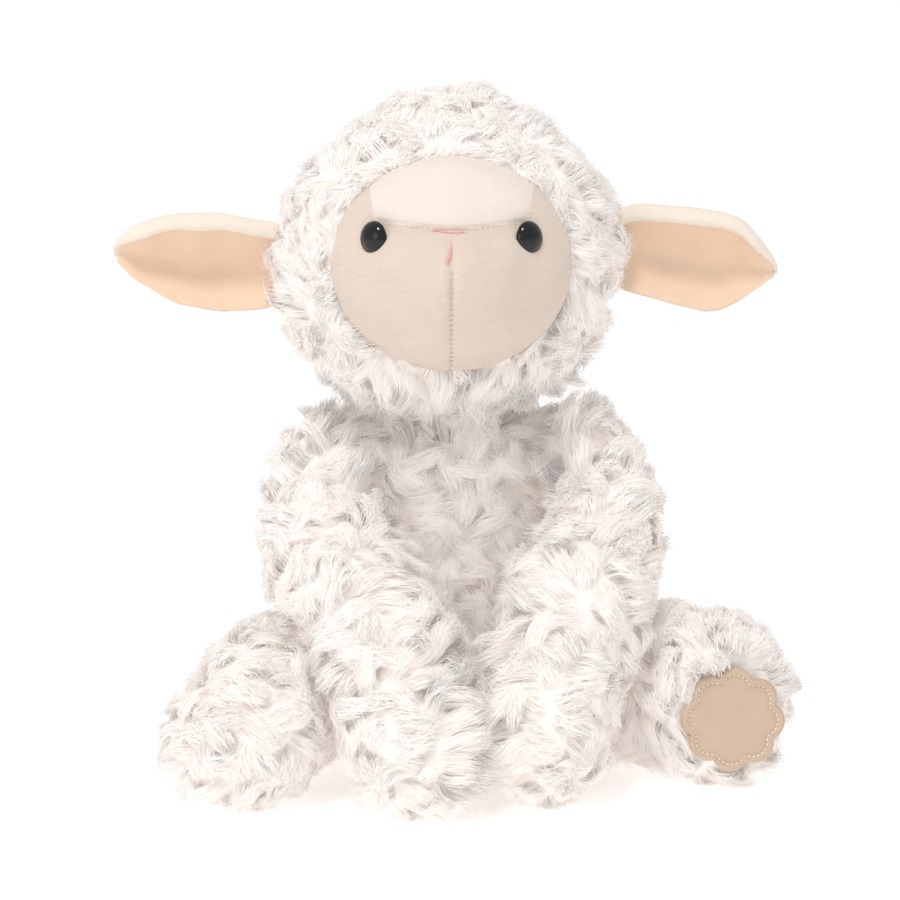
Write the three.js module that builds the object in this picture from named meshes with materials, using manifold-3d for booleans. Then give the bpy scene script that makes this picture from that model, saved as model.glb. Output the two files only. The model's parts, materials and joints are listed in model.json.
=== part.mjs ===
// A seated plush lamb: fur-covered torso, head, arms, legs and tail, each with its filling,
// a face sewn from three velour panels, two safety eyes with lock washers, two cupped ears
// with linings, and a scalloped leather patch on one sole.
//
// Millimetres, +Z up. The lamb looks along -Y and its own left is +X. The origin is the middle
// of the flat seat under the torso.
import * as THREE from "three";
import { mergeVertices } from "three/addons/utils/BufferGeometryUtils.js";
import Module from "manifold-3d";

const wasm = await Module();
wasm.setup();

// Cloth and clearances
const pile = 8; // fur fabric, backing and nap together
const velour = 2.2; // the face panels
const seatGap = 0.3; // between pieces that touch
const cutOverrun = 40; // how far a cutting tool runs past what it cuts
const socketSides = 14; // of the sockets round the limbs' roots
const hiddenSides = 9; // the fillings and the hollows that they lie in
const profileStepShare = 0.55; // steps up a round body's profile for each of its sides
const floorFlat = 1.2; // how far a leg is pressed flat where it lies on the ground
const pawFlat = 2.6; // and how far a paw, below its middle's own height

// Torso
const torsoHeight = 136;
const torsoWidth = 92;
const torsoDepth = 84;
const torsoSides = 16;
const torsoInnerSides = 12;
const torsoProfileShares = [
  [0.6, 0], [0.85, 0.06], [0.97, 0.18], [1, 0.34], [0.97, 0.5],
  [0.92, 0.64], [0.83, 0.78], [0.65, 0.895], [0.41, 0.955], [0, 1],
];

// Head
const headWidth = 134;
const headDepth = 112;
const headHeight = 118;
const headSetLeft = -2.5; // the head leans a little to one side
const headSetForward = -8;
const headLean = 0.035; // how far it leans to the left for its height
const neckOverlap = 2.5; // how far the head sits down over the top of the torso
const headTufts = 20; // soft clumps of fur round the hood, each row set between the next
const headTuftDip = 4; // how far the fur sinks between them
const headTuftFadeShare = 0.55; // of the half width, where they fade towards the crown
const headInnerSides = 14;
const headProfileShares = [
  [0, 0], [0.55, 0.02], [0.77, 0.09], [0.905, 0.215], [0.98, 0.34], [1, 0.44],
  [0.967, 0.585], [0.84, 0.71], [0.658, 0.83], [0.366, 0.954], [0, 1],
];

// Neck: a ball of filling between the neck holes of torso and head
const neckRadius = 20;
const neckSides = 20;
const neckDrop = 1; // below the top of the torso

// Face
const faceWidth = 86;
const faceHeight = 77;
const faceRise = 54.5; // centre of the face above the underside of the head
const faceRimForward = 44; // the edge of the face, in front of the torso's axis
const faceDome = 27; // how far the forehead stands out from that edge
const faceBack = 16; // how far the panels run back inside the hood
const muzzleSwell = 11;
const muzzleHalfWidth = 30;
const muzzleFallShare = 2.36; // scales the curve down the muzzle to a peak of one
const muzzleAtEyeShare = 0.5;
const faceSetLeft = 1.1; // the face's middle, seen from the head's
const noseSeamShare = 0.39; // of the half height, above the middle
const faceLevelShares = [-0.98, -0.86, -0.62, -0.34, -0.06, 0.18, 0.32, 0.39, 0.5, 0.72, 0.93];
const faceColumns = 12;
const foreheadWidth = 54; // along the nose seam, from eye to eye
const foreheadTopWidth = 62;

// Eyes
const eyeRadius = 6;
const eyeDome = 4.6;
const eyeSpread = 27.2; // from the middle of the face
const eyeBelowSeam = 1.4;
const eyeOutDegrees = 38;
const eyeUpDegrees = 6;
const eyeSink = 1.6;
const shankRadius = 1.5;
const shankLength = 13;
const shankRib = 0.35;
const washerRadius = 5.2;
const washerThickness = 1.5;
const washerTeeth = 6;
const washerTooth = 1.2;
const washerDepth = 6.5; // behind the eye's flat back

// Ears
const earLength = 52.5;
const earHeight = 38;
const earCup = 9;
const earCurl = 5; // how far the upper rim folds forward
const earCurlFromShare = 0.62; // of the height, where the fold begins
const earRootCupShare = 0.12; // how far the cup is along already at the root
const earTipThinShare = 0.5;
const earRimThinShare = 0.55;
const earCloth = 3; // two layers and their seam
const liningCloth = 1.3;
const liningShare = 0.84; // of the ear's height
const earRootRadius = 4;
const earRootHeight = 25;
const earRise = 55; // above the underside of the head
const earMiddleLeftShares = [[0, 0.02], [0.45, -0.06], [1, -0.18]]; // of length and height
const earMiddleRightShares = [[0, -0.14], [0.5, -0.09], [1, -0.03]];
const earSetBack = 3; // behind the middle of the head
const earRootInset = 2; // how far the root sinks into the fur
const earStations = 7;
const earRows = 6;
const earOutlineShares = [
  [0, 0.6], [0.18, 0.88], [0.36, 0.97], [0.52, 1], [0.68, 0.95], [0.8, 0.82],
  [0.9, 0.6], [0.97, 0.34], [1, 0.12],
];

// Arms, shoulder to paw
const armRootRadius = 22.5;
const armRadius = 28.5;
const pawRadius = 23.5;
const pawCap = 17; // how far the paw's rounded end reaches past its middle
const shoulderHeight = 106.5;
const shoulderOutLeft = 12.4; // the arm root's middle, outside the torso's flank
const shoulderOutRight = 9.4;
const shoulderForward = 9;
const armLiftDegrees = 45; // as far as the shoulder joints turn
const armLeftPaw = { across: 31.5, forward: 92 };
const armRightPaw = { across: -14.5, forward: 104 };
const armLeftBendShares = [[-0.1, 0.38, 0.34], [0.86, 0.79, 0.72]];
const armRightBendShares = [[0.04, 0.38, 0.34], [0.78, 0.79, 0.72]];

// Legs, hip to sole
const legRootRadius = 27;
const legRadius = 31;
const footRadius = 32;
const footCap = 21;
const hipOut = 49.5;
const hipForward = 19;
const legLeftFoot = { across: 98, forward: 57 };
const legRightFoot = { across: -77, forward: 87 };
const legLeftKneeShares = [0.62, 0.4];
const legRightKneeShares = [0.66, 0.42];

// The sewn hole at each limb's root, filled with wadding
const seamHoleRadius = 13;

const limbSlack = 0.85; // between a limb and the flank that it moves beside
const limbSwellShare = 0.45; // where a limb is thickest, from its root
const limbSides = 12;
const limbStations = 4;
const capRings = 2;
const capBluntShare = 0.5; // leaves the end of a paw or foot slightly flat

// Tail
const tailRootRadius = 9;
const tailRadius = 11;
const tailEndRadius = 9;
const tailLength = 26;
const tailHeight = 34;
const tailSet = 3; // how far the root sits outside the back
const tailRouteShares = [[0.45, 0.15], [0.75, 0.5]]; // back and down
const tailPile = 5;
const tailHoleRadius = 3.5;

// Patch on the left sole
const patchLobes = 8;
const patchLobeRadius = 7;
const patchLobeCircle = 11.8; // radius of the circle of lobe centres
const patchThickness = 1.8;
const patchBevel = 0.4;
const patchOutDegrees = 4;
const patchUpDegrees = 6;
const patchDrop = 4.5; // its middle, below the sole's
const patchSink = 4; // how far the flat on the sole is pressed in

const materials = {
  fur: new THREE.MeshStandardMaterial({ color: 0xf3eee8, roughness: 0.95, metalness: 0 }),
  velour: new THREE.MeshStandardMaterial({ color: 0xf6e7d6, roughness: 0.9, metalness: 0 }),
  lining: new THREE.MeshStandardMaterial({ color: 0xf1cfae, roughness: 0.85, metalness: 0 }),
  wadding: new THREE.MeshStandardMaterial({ color: 0xf7f7f5, roughness: 1, metalness: 0 }),
  eye: new THREE.MeshStandardMaterial({ color: 0x17151a, roughness: 0.12, metalness: 0 }),
  washer: new THREE.MeshStandardMaterial({ color: 0xe9e7e2, roughness: 0.5, metalness: 0 }),
  leather: new THREE.MeshStandardMaterial({ color: 0xe8d3bd, roughness: 0.6, metalness: 0 }),
};

// Solids and meshes
function solidFrom(geometry) {
  const bare = geometry.clone();
  bare.deleteAttribute("normal");
  bare.deleteAttribute("uv");
  const merged = mergeVertices(bare);
  return new wasm.Manifold(
    new wasm.Mesh({
      numProp: 3,
      vertProperties: new Float32Array(merged.attributes.position.array),
      triVerts: new Uint32Array(merged.index.array),
    }),
  );
}

function meshFrom(name, solid, material) {
  const made = solid.getMesh();
  const geometry = new THREE.BufferGeometry();
  geometry.setAttribute("position", new THREE.BufferAttribute(made.vertProperties, 3));
  geometry.setIndex(new THREE.BufferAttribute(made.triVerts, 1));
  geometry.computeVertexNormals();
  const mesh = new THREE.Mesh(geometry, material);
  mesh.name = name;
  return mesh;
}

// A closed body through rings of points. Its ends are closed by a fan, or where each ring is
// two facing rows, as on a thin cupped leaf, by a strip across them.
function loft(rings, twoRows = false) {
  const sides = rings[0].length;
  const points = rings.flat();
  const faces = [];
  for (let i = 0; i + 1 < rings.length; i++) {
    for (let j = 0; j < sides; j++) {
      const here = i * sides + j;
      const beside = i * sides + ((j + 1) % sides);
      faces.push(here, beside, beside + sides, here, beside + sides, here + sides);
    }
  }
  const close = (a, b, c, start) => faces.push(...(start ? [c, b, a] : [a, b, c]));
  for (const start of [true, false]) {
    const first = start ? 0 : (rings.length - 1) * sides;
    if (twoRows) {
      for (let j = 0; j < sides / 2 - 1; j++) {
        const across = first + sides - 1 - j;
        close(first + j, first + j + 1, across - 1, start);
        close(first + j, across - 1, across, start);
      }
    } else {
      const middle = new THREE.Vector3();
      (start ? rings[0] : rings.at(-1)).forEach((p) => middle.add(p));
      points.push(middle.divideScalar(sides));
      for (let j = 0; j < sides; j++) {
        close(points.length - 1, first + j, first + ((j + 1) % sides), start);
      }
    }
  }
  const geometry = new THREE.BufferGeometry().setFromPoints(points);
  geometry.setIndex(faces);
  return geometry;
}

// A round body of revolution about Z, with its profile given as shares of half width and height.
// A profile that starts off the axis stands on a flat base.
function turned(profileShares, width, depth, height, sides) {
  const curve = new THREE.SplineCurve(profileShares.map(([r, h]) => new THREE.Vector2(r, h)));
  const profile = curve.getPoints(Math.round(sides * profileStepShare));
  profile.forEach((p) => p.set(Math.max(p.x, 0), THREE.MathUtils.clamp(p.y, 0, 1)));
  if (profile[0].x > 0) profile.unshift(new THREE.Vector2(0, profile[0].y));
  const geometry = new THREE.LatheGeometry(profile, sides);
  geometry.rotateX(Math.PI / 2);
  return geometry.scale(width / 2, depth / 2, height);
}

// A hollow that a ball turns in: its flats clear the ball's corners.
function socket(centre, radius, sides = socketSides) {
  return ball(centre, (radius + seatGap) / Math.cos(Math.PI / sides) ** 2, sides);
}

function ball(centre, radius, sides = socketSides) {
  const geometry = new THREE.SphereGeometry(radius, sides, sides / 2);
  geometry.rotateX(Math.PI / 2);
  return solidFrom(geometry.translate(centre.x, centre.y, centre.z));
}

function box(low, high) {
  const size = new THREE.Vector3().subVectors(high, low);
  const middle = new THREE.Vector3().addVectors(low, high).divideScalar(2);
  const geometry = new THREE.BoxGeometry(size.x, size.y, size.z);
  return solidFrom(geometry.translate(middle.x, middle.y, middle.z));
}

// A cylinder from one point to another.
function rod(from, to, radius, sides) {
  const along = new THREE.Vector3().subVectors(to, from);
  const geometry = new THREE.CylinderGeometry(radius, radius, along.length(), sides);
  const up = new THREE.Vector3(0, 1, 0);
  geometry.applyQuaternion(
    new THREE.Quaternion().setFromUnitVectors(up, along.clone().normalize()),
  );
  const middle = new THREE.Vector3().addVectors(from, to).divideScalar(2);
  return solidFrom(geometry.translate(middle.x, middle.y, middle.z));
}

const overall = torsoHeight + headHeight + cutOverrun;
const ground = box(
  new THREE.Vector3(-overall, -overall, -overall),
  new THREE.Vector3(overall, overall, 0),
);

// A value read from a table of [share along, value], smoothly.
function smoothTable(table, at) {
  let i = 0;
  while (i < table.length - 2 && at > table[i + 1][0]) i++;
  const [from, start] = table[i];
  const [to, end] = table[i + 1];
  return start + (end - start) * THREE.MathUtils.smoothstep(at, from, to);
}

// A stuffed limb: a ball end round its root, a swelling middle and a blunter far end.
function limbSolid(limb, inset) {
  const sides = inset > 0 ? hiddenSides : limbSides;
  const curve = new THREE.CatmullRomCurve3(limb.path, false, "centripetal");
  const radii = [[0, limb.radii[0]], [limbSwellShare, limb.radii[1]], [1, limb.radii[2]]];
  const rings = [];
  const ringAt = (middle, along, radius) => {
    const side = new THREE.Vector3(0, 0, 1).cross(along).normalize();
    const up = new THREE.Vector3().crossVectors(along, side);
    return Array.from({ length: sides }, (_, j) => {
      const turn = (2 * Math.PI * j) / sides;
      return middle
        .clone()
        .addScaledVector(side, radius * Math.cos(turn))
        .addScaledVector(up, radius * Math.sin(turn));
    });
  };
  const root = curve.getPointAt(0);
  const rootWay = curve.getTangentAt(0);
  for (let i = 1; i <= capRings; i++) {
    const turn = (Math.PI / 2) * (i / (capRings + 1));
    const radius = limb.radii[0] - inset;
    rings.push(
      ringAt(
        root.clone().addScaledVector(rootWay, -radius * Math.cos(turn)),
        rootWay,
        radius * Math.sin(turn),
      ),
    );
  }
  for (let i = 0; i <= limbStations; i++) {
    const at = i / limbStations;
    rings.push(
      ringAt(curve.getPointAt(at), curve.getTangentAt(at), smoothTable(radii, at) - inset),
    );
  }
  const end = curve.getPointAt(1);
  const endWay = curve.getTangentAt(1);
  for (let i = 1; i <= capRings; i++) {
    const turn = (Math.PI / 2) * (i / (capRings + capBluntShare));
    rings.push(
      ringAt(
        end.clone().addScaledVector(endWay, (limb.cap - inset) * Math.sin(turn)),
        endWay,
        (limb.radii[2] - inset) * Math.cos(turn),
      ),
    );
  }
  return solidFrom(loft(rings));
}

// The drilled hole where the limb is sewn on, from inside the filling out through the root.
function seamHole(limb, radius) {
  const curve = new THREE.CatmullRomCurve3(limb.path, false, "centripetal");
  const root = curve.getPointAt(0);
  const back = curve.getTangentAt(0).negate();
  const end = root.clone().addScaledVector(back, limb.radii[0] + cutOverrun);
  return rod(root, end, radius, hiddenSides);
}

// Cover and filling of a limb, both clear of the pieces that it lies against.
function sewnLimb(limb, wall, holeRadius, clearOf) {
  const whole = clearOf.reduce((solid, other) => solid.subtract(other), limbSolid(limb, 0));
  const resting = whole.subtract(ground);
  const hollow = limbSolid(limb, wall).add(seamHole(limb, holeRadius));
  const filling = limbSolid(limb, wall + seatGap).add(seamHole(limb, holeRadius - seatGap));
  return { cover: resting.subtract(hollow), filling: resting.intersect(filling) };
}

// Where things are
const neckCentre = new THREE.Vector3(headSetLeft, headSetForward / 2, torsoHeight - neckDrop);
const headBottom = torsoHeight - neckOverlap;
const headCentre = new THREE.Vector3(headSetLeft, headSetForward, headBottom);
const faceCentre = new THREE.Vector3(
  headSetLeft + faceSetLeft,
  -faceRimForward,
  headBottom + faceRise,
);
const noseSeamHeight = faceCentre.z + (noseSeamShare * faceHeight) / 2;

// Half width of the torso at a height, for what is sewn to its flank.
function torsoHalfWidth(height) {
  return (torsoWidth / 2) * smoothTable(torsoProfileShares.map(([r, h]) => [h, r]), height / torsoHeight);
}

function armLimb(side, out, paw, bendShares) {
  const across = side * (torsoHalfWidth(shoulderHeight) + out);
  const shoulder = new THREE.Vector3(across, -shoulderForward, shoulderHeight);
  const end = new THREE.Vector3(paw.across, -paw.forward, pawRadius - pawFlat);
  const between = bendShares.map(
    ([x, y, z]) =>
      new THREE.Vector3(
        THREE.MathUtils.lerp(shoulder.x, end.x, x),
        THREE.MathUtils.lerp(shoulder.y, end.y, y),
        THREE.MathUtils.lerp(shoulder.z, end.z, z),
      ),
  );
  return {
    path: [shoulder, ...between, end],
    radii: [armRootRadius, armRadius, pawRadius],
    cap: pawCap,
  };
}

function legLimb(side, foot, kneeShares) {
  const hip = new THREE.Vector3(side * hipOut, -hipForward, legRootRadius - floorFlat / 2);
  const end = new THREE.Vector3(foot.across, -foot.forward, footRadius - floorFlat);
  const knee = new THREE.Vector3(
    THREE.MathUtils.lerp(hip.x, end.x, kneeShares[0]),
    THREE.MathUtils.lerp(hip.y, end.y, kneeShares[1]),
    legRadius - floorFlat,
  );
  return { path: [hip, knee, end], radii: [legRootRadius, legRadius, footRadius], cap: footCap };
}

const arms = {
  left: armLimb(1, shoulderOutLeft, armLeftPaw, armLeftBendShares),
  right: armLimb(-1, shoulderOutRight, armRightPaw, armRightBendShares),
};
const legs = {
  left: legLimb(1, legLeftFoot, legLeftKneeShares),
  right: legLimb(-1, legRightFoot, legRightKneeShares),
};
const tailRoot = new THREE.Vector3(0, torsoDepth / 2 + tailSet, tailHeight);
const tail = {
  path: [
    tailRoot,
    ...tailRouteShares.map(([back, down]) =>
      tailRoot.clone().add(new THREE.Vector3(0, tailLength * back, -tailLength * down)),
    ),
  ],
  radii: [tailRootRadius, tailRadius, tailEndRadius],
  cap: tailEndRadius,
};

// Torso
function torsoForm(inset) {
  return solidFrom(
    turned(
      torsoProfileShares,
      torsoWidth - 2 * inset,
      torsoDepth - 2 * inset,
      torsoHeight - 2 * inset,
      inset > 0 ? torsoInnerSides : torsoSides,
    ).translate(0, 0, inset),
  );
}

function buildTorso() {
  const sockets = [
    ...[arms.left, arms.right].map((arm) => socket(arm.path[0], armRootRadius)),
    ...[legs.left, legs.right].map((leg) => socket(leg.path[0], legRootRadius)),
    socket(neckCentre, neckRadius, neckSides),
    socket(tailRoot, tailRootRadius),
  ];
  const cut = (solid) => sockets.reduce((rest, socket) => rest.subtract(socket), solid);
  return [
    meshFrom("torso_cover", cut(torsoForm(0).subtract(torsoForm(pile))), materials.fur),
    meshFrom("torso_stuffing", cut(torsoForm(pile + seatGap)), materials.wadding),
  ];
}

// Head
function headForm(inset) {
  const geometry = turned(
    headProfileShares,
    headWidth - 2 * inset,
    headDepth - 2 * inset,
    headHeight - 2 * inset,
    inset > 0 ? headInnerSides : 2 * headTufts,
  ).translate(0, 0, inset - headHeight / 2);
  if (inset === 0) sinkBetweenTufts(geometry);
  return solidFrom(
    geometry
      .applyMatrix4(new THREE.Matrix4().makeShear(0, 0, 0, 0, headLean, 0))
      .translate(headCentre.x, headCentre.y, headCentre.z + headHeight / 2),
  );
}

// Draws in the points of a turned form but for one in four, in staggered rows: the tufts.
function sinkBetweenTufts(geometry) {
  const places = geometry.attributes.position;
  const rows = geometry.parameters.points.length;
  const place = new THREE.Vector3();
  for (let i = 0; i < places.count; i++) {
    const column = Math.floor(i / rows);
    const row = i % rows;
    if (row % 2 === 0 && (column + row / 2) % 2 === 0) continue;
    place.fromBufferAttribute(places, i);
    const reach = Math.hypot(place.x, place.y) / (headTuftFadeShare * headWidth / 2);
    place.setLength(place.length() - headTuftDip * Math.min(1, reach));
    places.setXYZ(i, place.x, place.y, place.z);
  }
}

// How far the muzzle stands out from the dome of the face.
function muzzleBulge(across, levelShare) {
  const down = (noseSeamShare - levelShare) / (noseSeamShare + 1);
  if (down <= 0) return 0;
  const fall = muzzleFallShare * down ** 0.45 * (1 - down) ** 0.9;
  return muzzleSwell * fall * Math.exp(-((across / muzzleHalfWidth) ** 2));
}

// The face as a closed dome, grown or shrunk all round, with a flat back inside the hood.
function faceForm(grow, back) {
  const halfWidth = faceWidth / 2 + grow;
  const halfHeight = faceHeight / 2 + grow;
  const rings = faceLevelShares.map((level) => {
    const slice = Math.sqrt(1 - level ** 2);
    const front = Array.from({ length: faceColumns + 1 }, (_, i) => {
      const turn = (Math.PI * i) / faceColumns;
      const across = -halfWidth * slice * Math.cos(turn);
      const out = (faceDome + grow) * slice + muzzleBulge(across, level);
      return new THREE.Vector3(
        faceCentre.x + across,
        faceCentre.y - out * Math.sin(turn),
        faceCentre.z + halfHeight * level,
      );
    });
    const rear = front
      .slice()
      .reverse()
      .map((p) => new THREE.Vector3(p.x, faceCentre.y + back, p.z));
    return [...front, ...rear];
  });
  return solidFrom(loft(rings));
}

// A block in front of the face over the forehead panel's outline.
function foreheadBlock(grow) {
  const half = foreheadWidth / 2 + grow;
  const topHalf = foreheadTopWidth / 2 + grow;
  const low = noseSeamHeight - grow;
  const high = faceCentre.z + faceHeight;
  const shape = new THREE.Shape([
    new THREE.Vector2(-half, low),
    new THREE.Vector2(half, low),
    new THREE.Vector2(topHalf, high),
    new THREE.Vector2(-topHalf, high),
  ]);
  const depth = faceDome + muzzleSwell + faceBack + cutOverrun;
  const geometry = new THREE.ExtrudeGeometry(shape, { depth, bevelEnabled: false });
  geometry.rotateX(Math.PI / 2);
  return solidFrom(geometry.translate(faceCentre.x, faceCentre.y + faceBack + seatGap, 0));
}

// The eye's place on the face, and the way that it looks.
function eyePlace(side) {
  const across = side * eyeSpread;
  const level = noseSeamShare - (2 * eyeBelowSeam) / faceHeight;
  const slice = Math.sqrt(1 - level ** 2 - (2 * across / faceWidth) ** 2);
  const out = faceDome * slice + muzzleBulge(across, level) * muzzleAtEyeShare;
  const turn = THREE.MathUtils.degToRad(eyeOutDegrees);
  const lift = THREE.MathUtils.degToRad(eyeUpDegrees);
  return {
    at: new THREE.Vector3(
      faceCentre.x + across,
      faceCentre.y - out,
      noseSeamHeight - eyeBelowSeam,
    ),
    way: new THREE.Vector3(
      side * Math.sin(turn) * Math.cos(lift),
      -Math.cos(turn) * Math.cos(lift),
      Math.sin(lift),
    ),
  };
}

// Moves a geometry made round Y, with its back at zero, to an eye.
function placedAtEye(geometry, place, offset) {
  const up = new THREE.Vector3(0, 1, 0);
  geometry.applyQuaternion(new THREE.Quaternion().setFromUnitVectors(up, place.way));
  const spot = place.at.clone().addScaledVector(place.way, offset);
  return solidFrom(geometry.translate(spot.x, spot.y, spot.z));
}

function eyeGeometry() {
  const profile = [new THREE.Vector2(0, -shankLength)];
  const ribs = 2;
  const pitch = shankLength / (ribs + 1);
  for (let i = 0; i < ribs; i++) {
    const low = -shankLength + pitch * (i + 0.4);
    profile.push(new THREE.Vector2(shankRadius, low));
    profile.push(new THREE.Vector2(shankRadius + shankRib, low + pitch * 0.45));
    profile.push(new THREE.Vector2(shankRadius, low + pitch * 0.5));
  }
  profile.push(new THREE.Vector2(shankRadius, 0));
  const steps = 4;
  for (let i = 0; i <= steps; i++) {
    const turn = ((Math.PI / 2) * i) / steps;
    profile.push(new THREE.Vector2(eyeRadius * Math.cos(turn), eyeDome * Math.sin(turn)));
  }
  profile.at(-1).x = 0;
  return new THREE.LatheGeometry(profile, 12);
}

function washerGeometry() {
  const hole = new THREE.Path();
  const points = [];
  const inner = shankRadius + shankRib + seatGap;
  for (let i = 0; i < washerTeeth * 2; i++) {
    const turn = (Math.PI * i) / washerTeeth;
    const reach = i % 2 ? inner + washerTooth : inner;
    points.push(new THREE.Vector2(reach * Math.cos(turn), reach * Math.sin(turn)));
  }
  hole.setFromPoints(points);
  const shape = new THREE.Shape().absarc(0, 0, washerRadius, 0, 2 * Math.PI);
  shape.holes.push(hole);
  const geometry = new THREE.ExtrudeGeometry(shape, {
    depth: washerThickness,
    bevelEnabled: false,
    curveSegments: 6,
  });
  return geometry.rotateX(-Math.PI / 2);
}

function buildHead() {
  const group = new THREE.Group();
  const neckSocket = socket(neckCentre, neckRadius, neckSides);
  const panelHollow = faceForm(-velour, faceBack + cutOverrun);
  const face = faceForm(0, faceBack);
  let hood = headForm(0)
    .subtract(headForm(pile))
    .subtract(faceForm(seatGap, faceBack + seatGap))
    .subtract(neckSocket);
  let filling = headForm(pile + seatGap)
    .subtract(face)
    .add(faceForm(-velour - seatGap, faceBack + cutOverrun / 4))
    .subtract(neckSocket);
  const shell = face.subtract(panelHollow);
  const middle = new THREE.Vector3(faceCentre.x, 0, faceCentre.z);
  const far = faceDome + muzzleSwell + faceWidth;
  const slit = box(
    middle.clone().add(new THREE.Vector3(-seatGap / 2, -faceRimForward - far, -faceHeight)),
    middle.clone().add(new THREE.Vector3(seatGap / 2, far, faceHeight)),
  );
  const sideBlock = (side) =>
    box(
      middle.clone().add(new THREE.Vector3(side > 0 ? 0 : -far, -faceRimForward - far, -faceHeight)),
      middle.clone().add(new THREE.Vector3(side > 0 ? far : 0, far, faceHeight)),
    );
  const lower = shell.subtract(foreheadBlock(seatGap)).subtract(slit);
  const panels = {
    forehead_panel: shell.intersect(foreheadBlock(0)),
    muzzle_panel_left: lower.intersect(sideBlock(1)),
    muzzle_panel_right: lower.intersect(sideBlock(-1)),
  };
  for (const [name, side] of [["left", 1], ["right", -1]]) {
    const place = eyePlace(side);
    const eye = placedAtEye(eyeGeometry(), place, -eyeSink);
    const washer = placedAtEye(washerGeometry(), place, -eyeSink - washerDepth);
    const line = (from, to, radius) =>
      rod(
        place.at.clone().addScaledVector(place.way, from),
        place.at.clone().addScaledVector(place.way, to),
        radius,
        18,
      );
    const seat = line(-eyeSink - seatGap, eyeDome + cutOverrun, eyeRadius + seatGap);
    const hole = line(-eyeSink - shankLength - seatGap, 0, shankRadius + shankRib + seatGap);
    const washerRoom = line(
      -eyeSink - washerDepth - seatGap,
      -eyeSink - washerDepth + washerThickness + seatGap,
      washerRadius + seatGap,
    );
    for (const panel of Object.keys(panels)) {
      panels[panel] = panels[panel].subtract(seat).subtract(hole);
    }
    filling = filling.subtract(seat).subtract(hole).subtract(washerRoom);
    hood = hood.subtract(earSlot(side));
    group.add(meshFrom("eye_" + name, eye, materials.eye));
    group.add(meshFrom("eye_washer_" + name, washer, materials.washer));
  }
  for (const [name, solid] of Object.entries(panels)) {
    group.add(meshFrom(name, solid, materials.velour));
  }
  group.add(meshFrom("head_cover", hood, materials.fur));
  group.add(meshFrom("head_stuffing", filling, materials.wadding));
  return group;
}

// Ears: a cupped leaf on an upright root, with a thinner lining in the cup.
function earRootAt(side) {
  const height = headBottom + earRise;
  const across = headCentre.x + side * (headHalfWidthAt(earRise) - earRootInset + earRootRadius);
  return new THREE.Vector3(across, headSetForward + earSetBack, height);
}

function headHalfWidthAt(rise) {
  return (headWidth / 2) * smoothTable(headProfileShares.map(([r, h]) => [h, r]), rise / headHeight);
}

function earSlot(side) {
  const root = earRootAt(side);
  const half = new THREE.Vector3(0, 0, earRootHeight / 2 + seatGap);
  return rod(root.clone().sub(half), root.clone().add(half), earRootRadius + seatGap, 16);
}

function earSection(side, at, cloth, heightShare, frontOffset, middle) {
  const root = earRootAt(side);
  const height = earHeight * smoothTable(earOutlineShares, at) * heightShare;
  const cup = earCup * Math.sin(Math.PI * Math.min(1, earRootCupShare + at)) ** 0.8;
  const thickness = cloth * (1 - earTipThinShare * at);
  const middleZ = root.z + earHeight * smoothTable(middle, at);
  const place = (row, front) => {
    const edge = row / earRows;
    const fold = Math.max(0, (edge - earCurlFromShare) / (1 - earCurlFromShare));
    const curl = earCurl * fold ** 2 * Math.sin(Math.PI * at);
    const back = root.y + cup * (1 - (2 * edge - 1) ** 2) - cup / 2 - curl;
    const body = thickness * (1 - earRimThinShare * Math.abs(2 * edge - 1) ** 3);
    return new THREE.Vector3(
      root.x + side * earLength * at,
      back - frontOffset - (front ? body : 0),
      middleZ + height * (edge - 0.5),
    );
  };
  const rows = Array.from({ length: earRows + 1 }, (_, i) => i);
  const ring = [
    ...rows.map((row) => place(row, false)),
    ...rows.reverse().map((row) => place(row, true)),
  ];
  return side > 0 ? ring : ring.reverse();
}

function earBlade(side, cloth, heightShare, frontOffset, middle, from, to) {
  const rings = Array.from({ length: earStations }, (_, i) => {
    const at = from + (to - from) * (i / (earStations - 1));
    return earSection(side, at, cloth, heightShare, frontOffset, middle);
  });
  return solidFrom(loft(rings, true));
}

function buildEar(name, side, middle) {
  const root = earRootAt(side);
  const half = new THREE.Vector3(0, 0, earRootHeight / 2);
  const stem = rod(root.clone().sub(half), root.clone().add(half), earRootRadius, 16);
  const outer = earBlade(side, earCloth, 1, 0, middle, 0, 1).add(stem);
  const lining = earBlade(
    side,
    liningCloth,
    liningShare,
    earCloth + seatGap,
    middle,
    (earRootRadius + seatGap) / earLength,
    liningShare,
  );
  return [
    meshFrom("ear_outer_" + name, outer, materials.velour),
    meshFrom("ear_lining_" + name, lining, materials.lining),
  ];
}

// Patch on the sole: eight round lobes
function patchOutline(grow) {
  const turn = Math.PI / patchLobes;
  const radius = patchLobeRadius + grow;
  const reach = turn + Math.asin((patchLobeCircle / radius) * Math.sin(turn));
  const shape = new THREE.Shape();
  for (let i = 0; i < patchLobes; i++) {
    const way = 2 * turn * i;
    shape.absarc(
      patchLobeCircle * Math.cos(way),
      patchLobeCircle * Math.sin(way),
      radius,
      way - reach,
      way + reach,
    );
  }
  return shape;
}

function patchPlace() {
  const turn = THREE.MathUtils.degToRad(patchOutDegrees);
  const lift = THREE.MathUtils.degToRad(patchUpDegrees);
  const way = new THREE.Vector3(
    Math.sin(turn) * Math.cos(lift),
    -Math.cos(turn) * Math.cos(lift),
    Math.sin(lift),
  );
  const at = legs.left.path.at(-1).clone().addScaledVector(way, footCap - patchSink);
  at.z -= patchDrop;
  return { way, at };
}

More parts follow.
